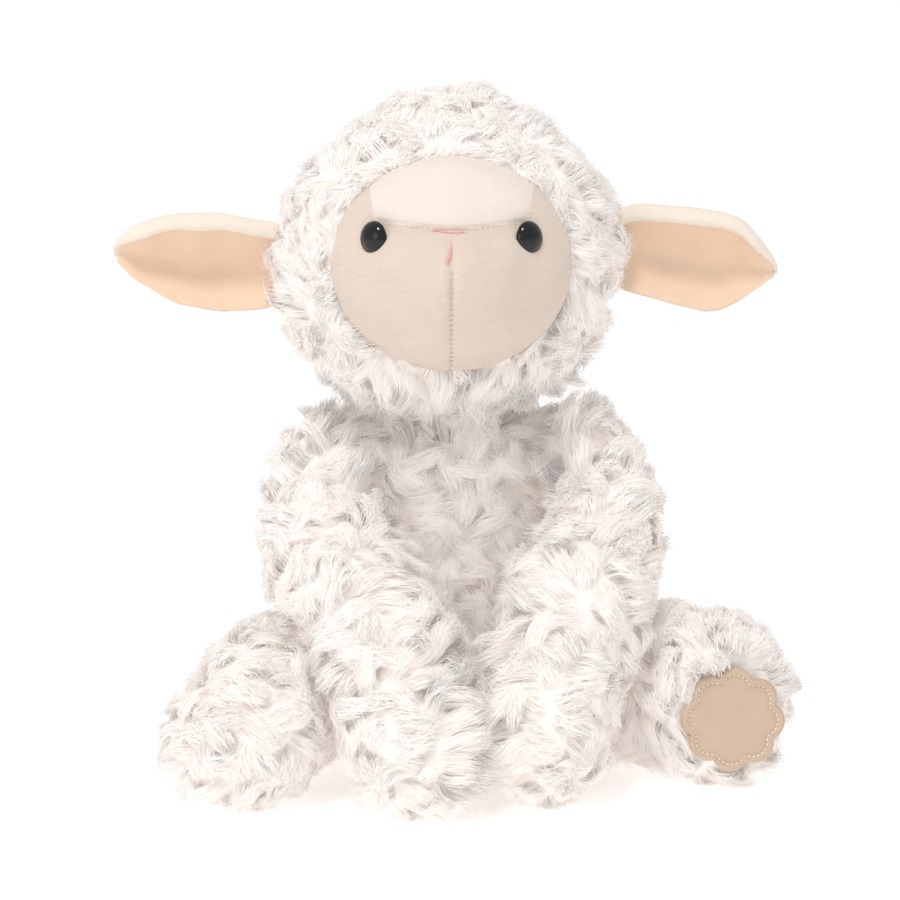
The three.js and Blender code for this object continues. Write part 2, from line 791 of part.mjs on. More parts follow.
function buildPatch() {
  const place = patchPlace();
  const geometry = new THREE.ExtrudeGeometry(patchOutline(0), {
    depth: patchThickness - patchBevel,
    bevelThickness: patchBevel,
    bevelSize: patchBevel,
    bevelOffset: -patchBevel,
    bevelSegments: 1,
    curveSegments: 4,
  });
  const out = new THREE.Vector3(0, 0, 1);
  geometry.translate(0, 0, patchBevel + seatGap);
  geometry.applyQuaternion(new THREE.Quaternion().setFromUnitVectors(out, place.way));
  const solid = solidFrom(geometry.translate(place.at.x, place.at.y, place.at.z));
  return meshFrom("foot_patch", solid, materials.leather);
}

// The flat that the patch is sewn on, as what has to be cleared in front of it.
function patchRoom() {
  const place = patchPlace();
  const reach = patchLobeCircle + patchLobeRadius + seatGap;
  return rod(
    place.at,
    place.at.clone().addScaledVector(place.way, cutOverrun),
    reach,
    2 * limbSides,
  );
}

// The torso as a lifted arm meets it, turned back with the arm to its rest.
function torsoMetBy(arm, liftDegrees) {
  const root = arm.path[0];
  return torsoForm(-limbSlack)
    .translate([-root.x, -root.y, -root.z])
    .rotate([liftDegrees, 0, 0])
    .translate([root.x, root.y, root.z])
    .subtract(ball(root, arm.radii[0]));
}

// Limbs
function buildLimbs() {
  const made = [];
  const torsoBeside = (limb) =>
    torsoForm(-limbSlack).subtract(ball(limb.path[0], limb.radii[0] + seatGap));
  for (const name of ["left", "right"]) {
    const clear = [torsoBeside(legs[name])];
    if (name === "left") clear.push(patchRoom());
    const leg = sewnLimb(legs[name], pile, seamHoleRadius, clear);
    made.push(meshFrom("leg_cover_" + name, leg.cover, materials.fur));
    made.push(meshFrom("leg_stuffing_" + name, leg.filling, materials.wadding));
    const arm = sewnLimb(arms[name], pile, seamHoleRadius, [
      torsoBeside(arms[name]),
      torsoMetBy(arms[name], armLiftDegrees / 2),
      torsoMetBy(arms[name], armLiftDegrees),
      limbSolid(legs[name], -seatGap),
    ]);
    made.push(meshFrom("arm_cover_" + name, arm.cover, materials.fur));
    made.push(meshFrom("arm_stuffing_" + name, arm.filling, materials.wadding));
  }
  const rump = sewnLimb(tail, tailPile, tailHoleRadius, [torsoBeside(tail)]);
  made.push(meshFrom("tail_cover", rump.cover, materials.fur));
  made.push(meshFrom("tail_stuffing", rump.filling, materials.wadding));
  return made;
}

const lamb = new THREE.Group();
lamb.add(...buildTorso());
lamb.add(meshFrom("neck_stuffing", ball(neckCentre, neckRadius, neckSides), materials.wadding));
lamb.add(buildHead());
lamb.add(...buildEar("left", 1, earMiddleLeftShares));
lamb.add(...buildEar("right", -1, earMiddleRightShares));
lamb.add(...buildLimbs());
lamb.add(buildPatch());

export default lamb;
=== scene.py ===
# A seated plush lamb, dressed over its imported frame. Metres, +Z up, it looks along -Y.
import json
import math

import bmesh
import bpy
import numpy as np
from mathutils import Matrix, Vector
from mathutils.bvhtree import BVHTree
from mathutils.kdtree import KDTree


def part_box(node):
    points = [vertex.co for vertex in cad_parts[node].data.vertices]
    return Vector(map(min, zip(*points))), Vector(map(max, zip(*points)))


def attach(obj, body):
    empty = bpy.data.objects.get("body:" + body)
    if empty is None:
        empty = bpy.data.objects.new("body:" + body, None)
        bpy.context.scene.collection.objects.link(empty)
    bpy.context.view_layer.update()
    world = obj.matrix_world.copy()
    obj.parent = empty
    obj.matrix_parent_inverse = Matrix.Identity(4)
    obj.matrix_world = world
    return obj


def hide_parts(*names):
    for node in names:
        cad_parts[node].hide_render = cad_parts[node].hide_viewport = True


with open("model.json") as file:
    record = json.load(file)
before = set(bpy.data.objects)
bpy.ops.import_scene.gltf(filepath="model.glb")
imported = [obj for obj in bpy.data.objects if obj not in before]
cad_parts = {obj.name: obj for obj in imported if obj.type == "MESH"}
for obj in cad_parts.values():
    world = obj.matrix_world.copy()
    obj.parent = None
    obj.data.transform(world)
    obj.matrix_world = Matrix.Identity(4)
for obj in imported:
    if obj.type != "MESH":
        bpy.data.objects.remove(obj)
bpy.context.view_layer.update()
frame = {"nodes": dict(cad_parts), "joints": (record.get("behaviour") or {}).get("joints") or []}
bpy.ops.object.select_all(action="DESELECT")
mm = 0.001
scene = bpy.context.scene
print("frame loaded")


# small helpers
def deselect():
    bpy.ops.object.select_all(action="DESELECT")


def activate(piece):
    deselect()
    piece.select_set(True)
    bpy.context.view_layer.objects.active = piece


def editMode(select="SELECT"):
    bpy.ops.object.mode_set(mode="EDIT")
    bpy.ops.mesh.select_all(action=select)


def objectMode():
    bpy.ops.object.mode_set(mode="OBJECT")


def extrude(height):
    bpy.ops.mesh.extrude_region_move(TRANSFORM_OT_translate={"value": (0, 0, height)})


def applyModifiers(piece):
    activate(piece)
    for modifier in list(piece.modifiers):
        bpy.ops.object.modifier_apply(modifier=modifier.name)


def soften(piece, rounds):
    modifier = piece.modifiers.new("soften", "SMOOTH")
    modifier.factor = 0.5
    modifier.iterations = rounds
    applyModifiers(piece)


def nameIt(piece, name):
    piece.name = name
    piece.data.name = name
    return piece


def vertsOf(piece, values="co"):
    found = np.empty(len(piece.data.vertices) * 3)
    piece.data.vertices.foreach_get(values, found)
    return found.reshape(-1, 3)


def normalsOf(piece):
    return vertsOf(piece, "normal")


def setVerts(piece, places):
    piece.data.vertices.foreach_set("co", np.ascontiguousarray(places).ravel())
    piece.data.update()


def gridOf(name, across, along):
    # a flat sheet to be shaped, with each point's place on it from 0 to 1 both ways
    bpy.ops.mesh.primitive_grid_add(x_subdivisions=across, y_subdivisions=along, size=1)
    piece = nameIt(bpy.context.object, name)
    places = vertsOf(piece) + 0.5
    return piece, places[:, 0], places[:, 1]


def copyPiece(piece, name):
    copy = piece.copy()
    copy.data = piece.data.copy()
    scene.collection.objects.link(copy)
    return nameIt(copy, name)


def joinPieces(pieces, name):
    activate(pieces[0])
    for piece in pieces:
        piece.select_set(True)
    bpy.ops.object.join()
    return nameIt(bpy.context.object, name)


def finishPiece(piece, finish, body, replaced=()):
    paint(piece, finishes[finish])
    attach(piece, body)
    if replaced:
        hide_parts(*replaced)
    deselect()
    return piece


def paint(piece, material):
    piece.data.materials.clear()
    piece.data.materials.append(material)


def unit(vectors):
    length = np.linalg.norm(vectors, axis=-1, keepdims=True)
    return vectors / np.maximum(length, 1e-9)


def smoothNoise(places, size, seed):
    # a slow wandering value from about -1 to 1, with bumps of about this size
    random = np.random.default_rng(seed)
    value = np.zeros(len(places))
    for _ in range(6):
        way = unit(random.normal(size=3)) * 2 * math.pi / (size * random.uniform(0.8, 1.6))
        value += np.sin(places @ way + random.uniform(0, 2 * math.pi))
    return value / 2.6


def gauss(value, width):
    return np.exp(-((value / width) ** 2))


def forwardWay(out, up):
    # the way to the front, turned this many degrees to the side and up
    out, up = math.radians(out), math.radians(up)
    return Vector((math.sin(out) * math.cos(up), -math.cos(out) * math.cos(up), math.sin(up)))


# node groups and materials
furMap = {"name": "OFBake", "columns": 64}  # the fur's own map: a column for each tint
outputKinds = {
    "Color": "NodeSocketColor", "Roughness": "NodeSocketFloat", "Normal": "NodeSocketVector",
}


def connect(tree, value, socket):
    # sets a socket, or links it to the output that feeds it
    if isinstance(value, bpy.types.NodeSocket):
        tree.links.new(value, socket)
    else:
        socket.default_value = value


def addNode(tree, kind, values, operation=None):
    node = tree.nodes.new(kind)
    if operation:
        node.operation = operation
    for label, value in values.items():
        connect(tree, value, node.inputs[label])
    return node


def mathNode(tree, operation, *values):
    return addNode(tree, "ShaderNodeMath", dict(enumerate(values)), operation).outputs[0]


def noiseNode(tree, place, scale, detail, distortion=0.0):
    return addNode(tree, "ShaderNodeTexNoise", {
        "Vector": place, "Scale": scale, "Detail": detail, "Distortion": distortion,
    }).outputs[0]


def bumpNode(tree, distance, strength, height, **below):
    return addNode(tree, "ShaderNodeBump", {
        "Distance": distance, "Strength": strength, "Height": height, **below,
    }).outputs[0]


def mixColor(tree, factor, first, second):
    mix = tree.nodes.new("ShaderNodeMix")
    mix.data_type = "RGBA"
    for index, value in ((0, factor), (6, first), (7, second)):
        connect(tree, value, mix.inputs[index])
    return mix.outputs[2]


def tinted(tree, color, wander, amount):
    # the colour made lighter and darker by a value that wanders around nought
    shade = mathNode(tree, "ADD", mathNode(tree, "MULTIPLY", wander, amount), 1.0)
    return addNode(tree, "ShaderNodeVectorMath", {0: color, "Scale": shade}, "SCALE").outputs[0]


def newGroup(name, inputs, outputs):
    tree = bpy.data.node_groups.new(name, "ShaderNodeTree")
    for label, value in inputs.items():
        kind = "NodeSocketColor" if isinstance(value, tuple) else "NodeSocketFloat"
        socket = tree.interface.new_socket(label, in_out="INPUT", socket_type=kind)
        socket.default_value = value
    for label in outputs:
        tree.interface.new_socket(label, in_out="OUTPUT", socket_type=outputKinds[label])
    source, result = tree.nodes.new("NodeGroupInput"), tree.nodes.new("NodeGroupOutput")
    return tree, source.outputs, result.inputs


def napGroup():
    # short velour nap: brushed patches, fine fibre grain and slack cloth wrinkles
    tree, source, result = newGroup(
        "velourNap",
        {"Color": (0.9, 0.85, 0.8, 1), "Brushed": 0.1, "Grain": 0.3, "Wrinkle": 0.3},
        ("Color", "Normal"),
    )
    place = tree.nodes.new("ShaderNodeTexCoord").outputs["Object"]
    patches = noiseNode(tree, place, 85, 4)
    fibre = noiseNode(tree, place, 2400, 3)
    stretch = addNode(tree, "ShaderNodeMapping", {
        "Vector": place, "Scale": (70, 70, 330), "Rotation": (0, 0.22, 0)})
    folds = noiseNode(tree, stretch.outputs[0], 1.6, 3, 0.8)
    speck = mathNode(tree, "MULTIPLY", mathNode(tree, "SUBTRACT", fibre, 0.5), 0.5)
    wander = mathNode(tree, "ADD", mathNode(tree, "SUBTRACT", patches, 0.5), speck)
    connect(tree, tinted(tree, source["Color"], wander, source["Brushed"]), result["Color"])
    coarse = bumpNode(tree, 1.2 * mm, source["Wrinkle"], folds)
    fine = bumpNode(tree, 0.25 * mm, source["Grain"], fibre, Normal=coarse)
    connect(tree, fine, result["Normal"])
    return tree


def pileGroup():
    # one fibre's colour, from its root to its tip, read from the fur's own map
    tree, source, result = newGroup(
        "pileShade",
        {"Root": (0.8, 0.76, 0.7, 1), "Tip": (0.95, 0.94, 0.92, 1), "Vary": 0.06},
        ("Color",),
    )
    coordinates = tree.nodes.new("ShaderNodeUVMap")
    coordinates.uv_map = furMap["name"]
    split = addNode(tree, "ShaderNodeSeparateXYZ", {0: coordinates.outputs[0]})
    along = tree.nodes.new("ShaderNodeMapRange")
    along.interpolation_type = "SMOOTHSTEP"
    connect(tree, split.outputs[1], along.inputs["Value"])
    connect(tree, 0.7, along.inputs["From Max"])
    column = mathNode(tree, "MULTIPLY", split.outputs[0], float(furMap["columns"]))
    chance = tree.nodes.new("ShaderNodeTexWhiteNoise")
    chance.noise_dimensions = "1D"
    connect(tree, mathNode(tree, "FLOOR", column), chance.inputs["W"])
    wander = mathNode(tree, "SUBTRACT", chance.outputs["Value"], 0.5)
    color = mixColor(tree, along.outputs[0], source["Root"], source["Tip"])
    connect(tree, tinted(tree, color, wander, source["Vary"]), result["Color"])
    return tree


def grainGroup():
    # a pebbled or moulded surface: cells, fine noise and a mottled colour
    tree, source, result = newGroup(
        "surfaceGrain",
        {
            "Color": (0.8, 0.7, 0.6, 1), "Dark": (0.7, 0.6, 0.5, 1),
            "Scale": 900.0, "Depth": 0.4, "Rough": 0.6,
        },
        ("Color", "Roughness", "Normal"),
    )
    place = tree.nodes.new("ShaderNodeTexCoord").outputs["Object"]
    cells = addNode(tree, "ShaderNodeTexVoronoi", {"Vector": place, "Scale": source["Scale"]})
    mottle = noiseNode(tree, place, 160, 5)
    connect(tree, mixColor(tree, mottle, source["Dark"], source["Color"]), result["Color"])
    spread = mathNode(tree, "ADD", mathNode(tree, "MULTIPLY", mottle, 0.25), source["Rough"])
    connect(tree, mathNode(tree, "SUBTRACT", spread, 0.12), result["Roughness"])
    bump = bumpNode(tree, 0.3 * mm, source["Depth"], cells.outputs["Distance"])
    connect(tree, bump, result["Normal"])
    return tree


effects = {"nap": napGroup(), "pile": pileGroup(), "grain": grainGroup()}


def newMaterial(name, effect, values, fixed, letsThrough=0.0):
    material = bpy.data.materials.new(name)
    material.use_nodes = True
    tree = material.node_tree
    shader = tree.nodes["Principled BSDF"]
    for label, value in fixed.items():
        connect(tree, value, shader.inputs[label])
    surface = tree.nodes.new("ShaderNodeGroup")
    surface.node_tree = effects[effect]
    for label, value in values.items():
        connect(tree, value, surface.inputs[label])
    for output in surface.outputs:
        target = "Base Color" if output.name == "Color" else output.name
        connect(tree, output, shader.inputs[target])
    if letsThrough:  # thin fibres also glow with the light behind them
        glow = addNode(tree, "ShaderNodeBsdfTranslucent", {"Color": surface.outputs["Color"]})
        blend = addNode(tree, "ShaderNodeMixShader", {
            "Fac": letsThrough, 1: shader.outputs[0], 2: glow.outputs[0]})
        connect(tree, blend.outputs[0], tree.nodes["Material Output"].inputs["Surface"])
    return material


naps = {  # colour; brushed, grain and wrinkle; roughness, sheen and specular level
    "furBacking": ((0.97, 0.955, 0.935), 0.06, 0.8, 0.3, 0.95, 0.2, 0.1),
    "foreheadVelour": ((0.76, 0.675, 0.605), 0.1, 0.6, 0.3, 0.85, 0.2, 0.2),
    "muzzleVelourPaintedShade": ((0.665, 0.562, 0.482), 0.1, 0.6, 0.5, 0.85, 0.2, 0.2),  # the forehead's velour painted darker, as shade on the lower face
    "earVelour": ((0.78, 0.69, 0.6), 0.12, 0.4, 0.15, 0.85, 0.4, 0.2),
    "liningVelour": ((0.77, 0.575, 0.43), 0.12, 0.4, 0.15, 0.85, 0.35, 0.2),
    "wadding": ((0.88, 0.88, 0.87), 0.2, 0.8, 0.4, 1.0, 0.0, 0.5),
}
grains = {  # colour and darker colour; scale, depth and roughness; what else the shader has
    "eyeGloss": (
        (0.008, 0.007, 0.009), (0.004, 0.004, 0.005), 260, 0.01, 0.05, {"IOR": 1.42}),
    "washerPlastic": (
        (0.82, 0.81, 0.78), (0.76, 0.75, 0.72), 700, 0.1, 0.5, {"IOR": 1.5}),
    "patchLeather": (
        (0.58, 0.445, 0.335), (0.52, 0.385, 0.28), 1500, 0.35, 0.5, {"Specular IOR Level": 0.4}),
    "seamThread": (
        (0.62, 0.52, 0.43), (0.54, 0.44, 0.36), 2600, 0.5, 0.6, {"Sheen Weight": 0.3}),
    "creamThread": (
        (0.93, 0.86, 0.74), (0.84, 0.75, 0.62), 2600, 0.5, 0.6, {"Sheen Weight": 0.3}),
    "pinkThread": (
        (0.86, 0.42, 0.4), (0.78, 0.34, 0.34), 2600, 0.5, 0.55, {"Sheen Weight": 0.3}),
    "floorPaper": (
        (0.99, 0.99, 0.99), (0.98, 0.98, 0.98), 60, 0.02, 0.8,
        {"Specular IOR Level": 0.1, "Emission Color": (1, 1, 1, 1), "Emission Strength": 0.3}),
}
finishes = {
    "furPile": newMaterial(
        "furPile",
        "pile",
        {"Root": (0.98, 0.955, 0.938, 1), "Tip": (0.985, 0.967, 0.953, 1), "Vary": 0.03},
        {
            "Roughness": 0.9, "Sheen Weight": 0.3, "Specular IOR Level": 0.1,
            # a faint painted glow that lifts the fur's shadows, standing in for light passed from
            # fibre to fibre
            "Emission Color": (1.0, 0.955, 0.925, 1), "Emission Strength": 0.078,
        },
        letsThrough=0.45,
    ),
}
for name, (color, brushed, grain, wrinkle, rough, sheen, specular) in naps.items():
    finishes[name] = newMaterial(
        name,
        "nap",
        {"Color": (*color, 1), "Brushed": brushed, "Grain": grain, "Wrinkle": wrinkle},
        {"Roughness": rough, "Sheen Weight": sheen, "Specular IOR Level": specular},
    )
for name, (color, dark, scale, depth, rough, fixed) in grains.items():
    finishes[name] = newMaterial(
        name,
        "grain",
        {"Color": (*color, 1), "Dark": (*dark, 1), "Scale": scale, "Depth": depth, "Rough": rough},
        fixed,
    )
for nodeName, nodeObject in frame["nodes"].items():
    if "stuffing" in nodeName:
        paint(nodeObject, finishes["wadding"])
    if "washer" in nodeName:
        paint(nodeObject, finishes["washerPlastic"])
print("materials ready")


# camera, floor and light
view = {"distance": 1.2, "elevation": 12.0, "target": (-0.0019, 0.0, 0.1108), "span": 0.3375}
elevation = math.radians(view["elevation"])
cameraData = bpy.data.cameras.new("photoCamera")
cameraData.sensor_fit = "HORIZONTAL"
cameraData.angle = 2 * math.atan(view["span"] / 2 / view["distance"])
cameraData.clip_start = 0.05
camera = bpy.data.objects.new("photoCamera", cameraData)
scene.collection.objects.link(camera)
camera.location = Vector(view["target"]) + view["distance"] * Vector(
    (0, -math.cos(elevation), math.sin(elevation))
)
camera.rotation_euler = (math.pi / 2 - elevation, 0, 0)
scene.camera = camera
scene.view_settings.view_transform = "Standard"
scene.cycles.max_bounces = 20  # white fur is bright because light goes from hair to hair
scene.cycles.diffuse_bounces = 16


def studioFloor():
    bpy.ops.mesh.primitive_plane_add(size=studio["floorSize"], location=(0, 0, 0))
    piece = nameIt(bpy.context.object, "studioFloor")
    paint(piece, finishes["floorPaper"])
    deselect()


def softLight(name, place, size, power):
    data = bpy.data.lights.new(name, "AREA")
    data.shape = "DISK"
    data.size = size
    data.energy = power
    light = bpy.data.objects.new(name, data)
    scene.collection.objects.link(light)
    light.location = place
    toward = Vector(view["target"]) - Vector(place)
    light.rotation_euler = toward.to_track_quat("-Z", "Y").to_euler()


studio = {
    "floorSize": 30.0, "air": (1.0, 0.99, 0.98, 1), "airStrength": 0.74,
    "lights": {  # place, size and power
        "keyLight": ((-0.25, -0.75, 1.75), 0.5, 13.0),
        "fillLight": ((-0.95, -1.2, 0.6), 0.9, 2.5),
    },
}
studioFloor()
scene.world = bpy.data.worlds.new("studioAir")
scene.world.use_nodes = True
air = scene.world.node_tree.nodes["Background"].inputs
air["Color"].default_value = studio["air"]
air["Strength"].default_value = studio["airStrength"]
for name, (place, size, power) in studio["lights"].items():
    softLight(name, place, size, power)
print("stage ready")


# fur: a soft backing inside each cover's outline, and locks of fibres on it
furCloth = {
    "voxel": 2.8 * mm,  # of the even mesh that each backing is made on
    "inset": 5.3 * mm,  # the backing lies this far under the cover's face
    "restInset": 1.4 * mm,  # and this far where the piece rests on the ground
    "restHeight": 16 * mm,
    "swell": 0.6 * mm,
    "lump": 1.0 * mm,
    "lumpSize": 19 * mm,
    "floorGap": 0.6 * mm,
}
furPieces = {  # the frame's nodes that each one replaces, its body and its number of meshes
    "torso": {"nodes": ["torso_cover", "torso_stuffing"], "body": "torso", "parts": 2},
    "neck": {"nodes": ["neck_stuffing"], "body": "neck", "parts": 1},
    "head": {
        "nodes": ["head_cover", "head_stuffing"], "body": "head", "parts": 3, "smoothing": 4,
        "inset": 3.5 * mm, "crownHeight": 228 * mm, "crownFade": 16 * mm, "crownInset": 2.6 * mm,
    },
    "armLeft": {"nodes": ["arm_cover_left", "arm_stuffing_left"], "body": "arm_left", "parts": 2},
    "armRight": {
        "nodes": ["arm_cover_right", "arm_stuffing_right"], "body": "arm_right", "parts": 2,
    },
    "legLeft": {"nodes": ["leg_cover_left", "leg_stuffing_left"], "body": "leg_left", "parts": 2},
    "legRight": {
        "nodes": ["leg_cover_right", "leg_stuffing_right"], "body": "leg_right", "parts": 2,
        "slump": 0.36, "slumpFrom": -70 * mm, "slumpOver": 35 * mm,
    },
    "tail": {"nodes": ["tail_cover", "tail_stuffing"], "body": "tail", "parts": 1},
}


def furBacking(label, seed):
    # the cover and its filling as one closed form, drawn in under the cover's face
    info = furPieces[label]
    shapes = []
    for nodeName in info["nodes"]:
        shape = copyPiece(frame["nodes"][nodeName], "shape")
        shape.data.materials.clear()
        activate(shape)
        editMode()
        bpy.ops.mesh.remove_doubles(threshold=1e-5)
        bpy.ops.mesh.normals_make_consistent(inside=False)
        objectMode()
        if shapes:  # the filling swells until it meets the cover's inside
            setVerts(shape, vertsOf(shape) + normalsOf(shape) * furCloth["swell"])
        shapes.append(shape)
    piece = joinPieces(shapes, "backing_" + label)
    remesh = piece.modifiers.new("even", "REMESH")
    remesh.mode = "VOXEL"
    remesh.voxel_size = furCloth["voxel"]
    soften(piece, info.get("smoothing", 8))
    keepLargest(piece)
    places = vertsOf(piece)
    lump = furCloth["lump"] * smoothNoise(places, furCloth["lumpSize"], seed)
    raised = np.clip(places[:, 2] / furCloth["restHeight"], 0, 1)
    deep = info.get("inset", furCloth["inset"])
    if "crownInset" in info:
        share = np.clip((places[:, 2] - info["crownHeight"]) / info["crownFade"], 0, 1)
        deep = deep + info["crownInset"] * share
    inset = furCloth["restInset"] + (deep - furCloth["restInset"]) * raised
    places = places - normalsOf(piece) * (inset - lump)[:, None]
    if "slump" in info:  # the foot sinks towards its outer side
        outward = np.clip((info["slumpFrom"] - places[:, 0]) / info["slumpOver"], 0, 1)
        places[:, 2] *= 1 - info["slump"] * outward**2 * (3 - 2 * outward)
    places[:, 2] = np.maximum(places[:, 2], furCloth["floorGap"])
    setVerts(piece, places)
    soften(piece, 4)
    bpy.ops.object.shade_smooth()
    finishPiece(piece, "furBacking", info["body"], info["nodes"])
    return piece


def keepLargest(piece):
    # drops the small shells that close off inside the form
    shape = bmesh.new()
    shape.from_mesh(piece.data)
    left, groups = set(shape.verts), []
    while left:
        front = [left.pop()]
        group = set(front)
        while front:
            for edge in front.pop().link_edges:
                for vertex in edge.verts:
                    if vertex in left:
                        left.discard(vertex)
                        group.add(vertex)
                        front.append(vertex)
        groups.append(group)
    groups.sort(key=len)
    for group in groups[:-1]:
        bmesh.ops.delete(shape, geom=list(group), context="VERTS")
    shape.to_mesh(piece.data)
    shape.free()
    piece.data.update()


def treeOf(piece):
    shape = bmesh.new()
    shape.from_mesh(piece.data)
    tree = BVHTree.FromBMesh(shape)
    shape.free()
    return tree


def scatter(piece, density, random):
    # places spread evenly over a surface, with the normals there
    piece.data.calc_loop_triangles()
    count = len(piece.data.loop_triangles)
    corners = np.empty(count * 3, dtype=np.int64)
    piece.data.loop_triangles.foreach_get("vertices", corners)
    corners = corners.reshape(-1, 3)
    places, normals = vertsOf(piece), normalsOf(piece)
    a, b, c = (places[corners[:, i]] for i in range(3))
    area = np.linalg.norm(np.cross(b - a, c - a), axis=1) / 2
    total = int(area.sum() * density / mm**2)
    chosen = random.choice(count, size=total, p=area / area.sum())
    u, v = random.random((2, total))
    flip = u + v > 1
    u[flip], v[flip] = 1 - u[flip], 1 - v[flip]
    spots = a[chosen] + u[:, None] * (b - a)[chosen] + v[:, None] * (c - a)[chosen]
    na, nb, nc = (normals[corners[chosen, i]] for i in range(3))
    ways = unit(na * (1 - u - v)[:, None] + nb * u[:, None] + nc * v[:, None])
    return spots, ways


def keepApart(spots, gap):
    # the spots in turn, leaving out each that lies too near one already kept
    kept, cells = [], {}
    for index, spot in enumerate(spots):
        key = tuple(int(math.floor(x / gap)) for x in spot)
        near = (
            other
            for dx in (-1, 0, 1) for dy in (-1, 0, 1) for dz in (-1, 0, 1)
            for other in cells.get((key[0] + dx, key[1] + dy, key[2] + dz), ())
        )
        if all(np.sum((spots[other] - spot) ** 2) > gap * gap for other in near):
            kept.append(index)
            cells.setdefault(key, []).append(index)
    return np.array(kept)


def rotateAbout(vectors, axes, angles):
    cos, sin = np.cos(angles)[:, None], np.sin(angles)[:, None]
    along = np.sum(vectors * axes, axis=1, keepdims=True)
    return vectors * cos + np.cross(axes, vectors) * sin + axes * along * (1 - cos)


def combLocks(tree, spots, ways, fur, random):
    # each lock's middle line: up out of the backing, over, and curling along it
    steps, count, flow = fur["steps"], len(spots), fur["flow"](spots)
    pull = fur["pull"](spots, ways)
    longer = 1 + fur["extra"] * np.linalg.norm(pull, axis=1)  # locks pulled out of the nap
    length = fur["length"] * random.uniform(0.75, 1.25, count) * longer
    turn = random.choice([-1, 1], count) * random.uniform(0.3, 1.0, count) * fur["curl"]
    swirl = fur["swirl"] * smoothNoise(spots, fur["swirlSize"], fur["seed"] + 5)
    heading = swirl + random.normal(0, fur["stray"], count)
    heading += math.pi * (random.random(count) < fur["turned"])
    pull = pull * random.uniform(fur["pullLeast"], 1, (count, 1))
    strength = np.linalg.norm(pull, axis=1, keepdims=True)
    rise = np.radians(np.array(fur["rise"]))
    lift = random.uniform(0.7, 1.15, count)
    line = [spots.copy()]
    here = spots.copy()
    for step in range(steps):
        normal = ways.copy()
        for index in range(count):
            found = tree.find_nearest(here[index])
            if found[1] is not None:
                normal[index] = found[1]
        along = flow - np.sum(flow * normal, axis=1, keepdims=True) * normal
        along = unit(rotateAbout(unit(along), normal, heading + turn * (step + 0.5) / steps))
        slope = rise[step] * lift
        way = along * np.cos(slope)[:, None] + normal * np.sin(slope)[:, None]
        bent = pull + strength * random.normal(0, fur["unruly"], (count, 3))
        here = here + (length / steps)[:, None] * unit(way * (1 - strength) + bent)
        line.append(here.copy())
    return np.stack(line, axis=1)


def clearOf(trees, spots, ways, reach):
    # False where a spot lies inside another backing, or where one faces it closer than reach
    keep = np.ones(len(spots), dtype=bool)
    for index, (spot, way) in enumerate(zip(spots, ways)):
        for tree in trees:
            hit, normal, _, far = tree.ray_cast(Vector(spot), Vector(way))
            if hit is not None and (normal.dot(Vector(way)) > 0 or far < reach):
                keep[index] = False
                break
    return keep


def growFur(label, fur):
    random = np.random.default_rng(fur["seed"])
    spots, ways = scatter(backings[label], fur["density"], random)
    lockAt = keepApart(spots, fur["lockGap"])
    neighbours = [backingTrees[other] for other in fur["near"]]
    keepLock = clearOf(neighbours, spots[lockAt], ways[lockAt], fur["reach"])
    finder = KDTree(len(lockAt))
    for index, spot in enumerate(spots[lockAt]):
        finder.insert(spot, index)
    finder.balance()
    owner = np.array([finder.find(spot)[1] for spot in spots])
    keep = keepLock[owner] & fur["wanted"](spots)
    middles = combLocks(backingTrees[label], spots[lockAt], ways[lockAt], fur, random)
    lockTint = random.random(len(lockAt))
    spots, ways, owner = spots[keep], ways[keep], owner[keep]
    count, steps = len(spots), fur["steps"]
    along = np.linspace(0, 1, steps + 1)
    # fibres that stray belong to no lock's tip, and the rest draw together towards it
    gather = np.where(random.random(count) < fur["loose"], fur["looseGather"], fur["gather"])
    gather = gather * random.uniform(0.7, 1.15, count)
    offset = spots - middles[owner, 0]
    spread = 1 - gather[:, None] * along[None, :] ** 0.8
    reach = random.uniform(0.6, 1.0, count)
    path = np.empty((count, steps + 1, 3))
    faceWay = np.empty((count, steps + 1, 3))
    for step in range(steps + 1):
        at = np.clip(along[step] * reach * steps, 0, steps)
        low = np.minimum(at.astype(int), steps - 1)
        part = (at - low)[:, None]
        middle = middles[owner, low] * (1 - part) + middles[owner, low + 1] * part
        aside = offset * spread[:, step][:, None]
        path[:, step] = middle + aside
        # a fibre at the side of its lock faces sideways, so the lock shades as a soft roll
        faceWay[:, step] = ways + fur["round"] * aside / fur["lockGap"]
    wave = random.normal(0, fur["frizz"], (count, 2, 3))
    phase = random.uniform(0, 2 * math.pi, (count, 2))
    for step in range(1, steps + 1):
        for beat in range(2):
            sway = np.sin(phase[:, beat] + (2.2 + 2.0 * beat) * along[step] * 2)
            sway = (sway - np.sin(phase[:, beat]))[:, None]
            path[:, step] += wave[:, beat] * sway * along[step]
    path[:, :, 2] = np.maximum(path[:, :, 2], fur["floorGap"])
    faceWay += random.normal(0, fur["turnAbout"], (count, 1, 3))
    tint = np.clip(lockTint[owner] + random.normal(0, fur["tintAbout"], count), 0, 0.999)
    thick = fur["thick"] * random.uniform(0.7, 1.3, count)
    parts = furPieces[label]["parts"]
    for part in range(parts):
        chosen = np.arange(part, count, parts)
        name = "fur_" + label if parts == 1 else f"fur_{label}_{part + 1}"
        piece = fibreMesh(name, path[chosen], faceWay[chosen], thick[chosen], tint[chosen])
        softenShading(piece, faceWay[chosen], fur["soft"])
        finishPiece(piece, "furPile", furPieces[label]["body"])
    print("fur on", label, "locks", len(lockAt), "fibres", count)


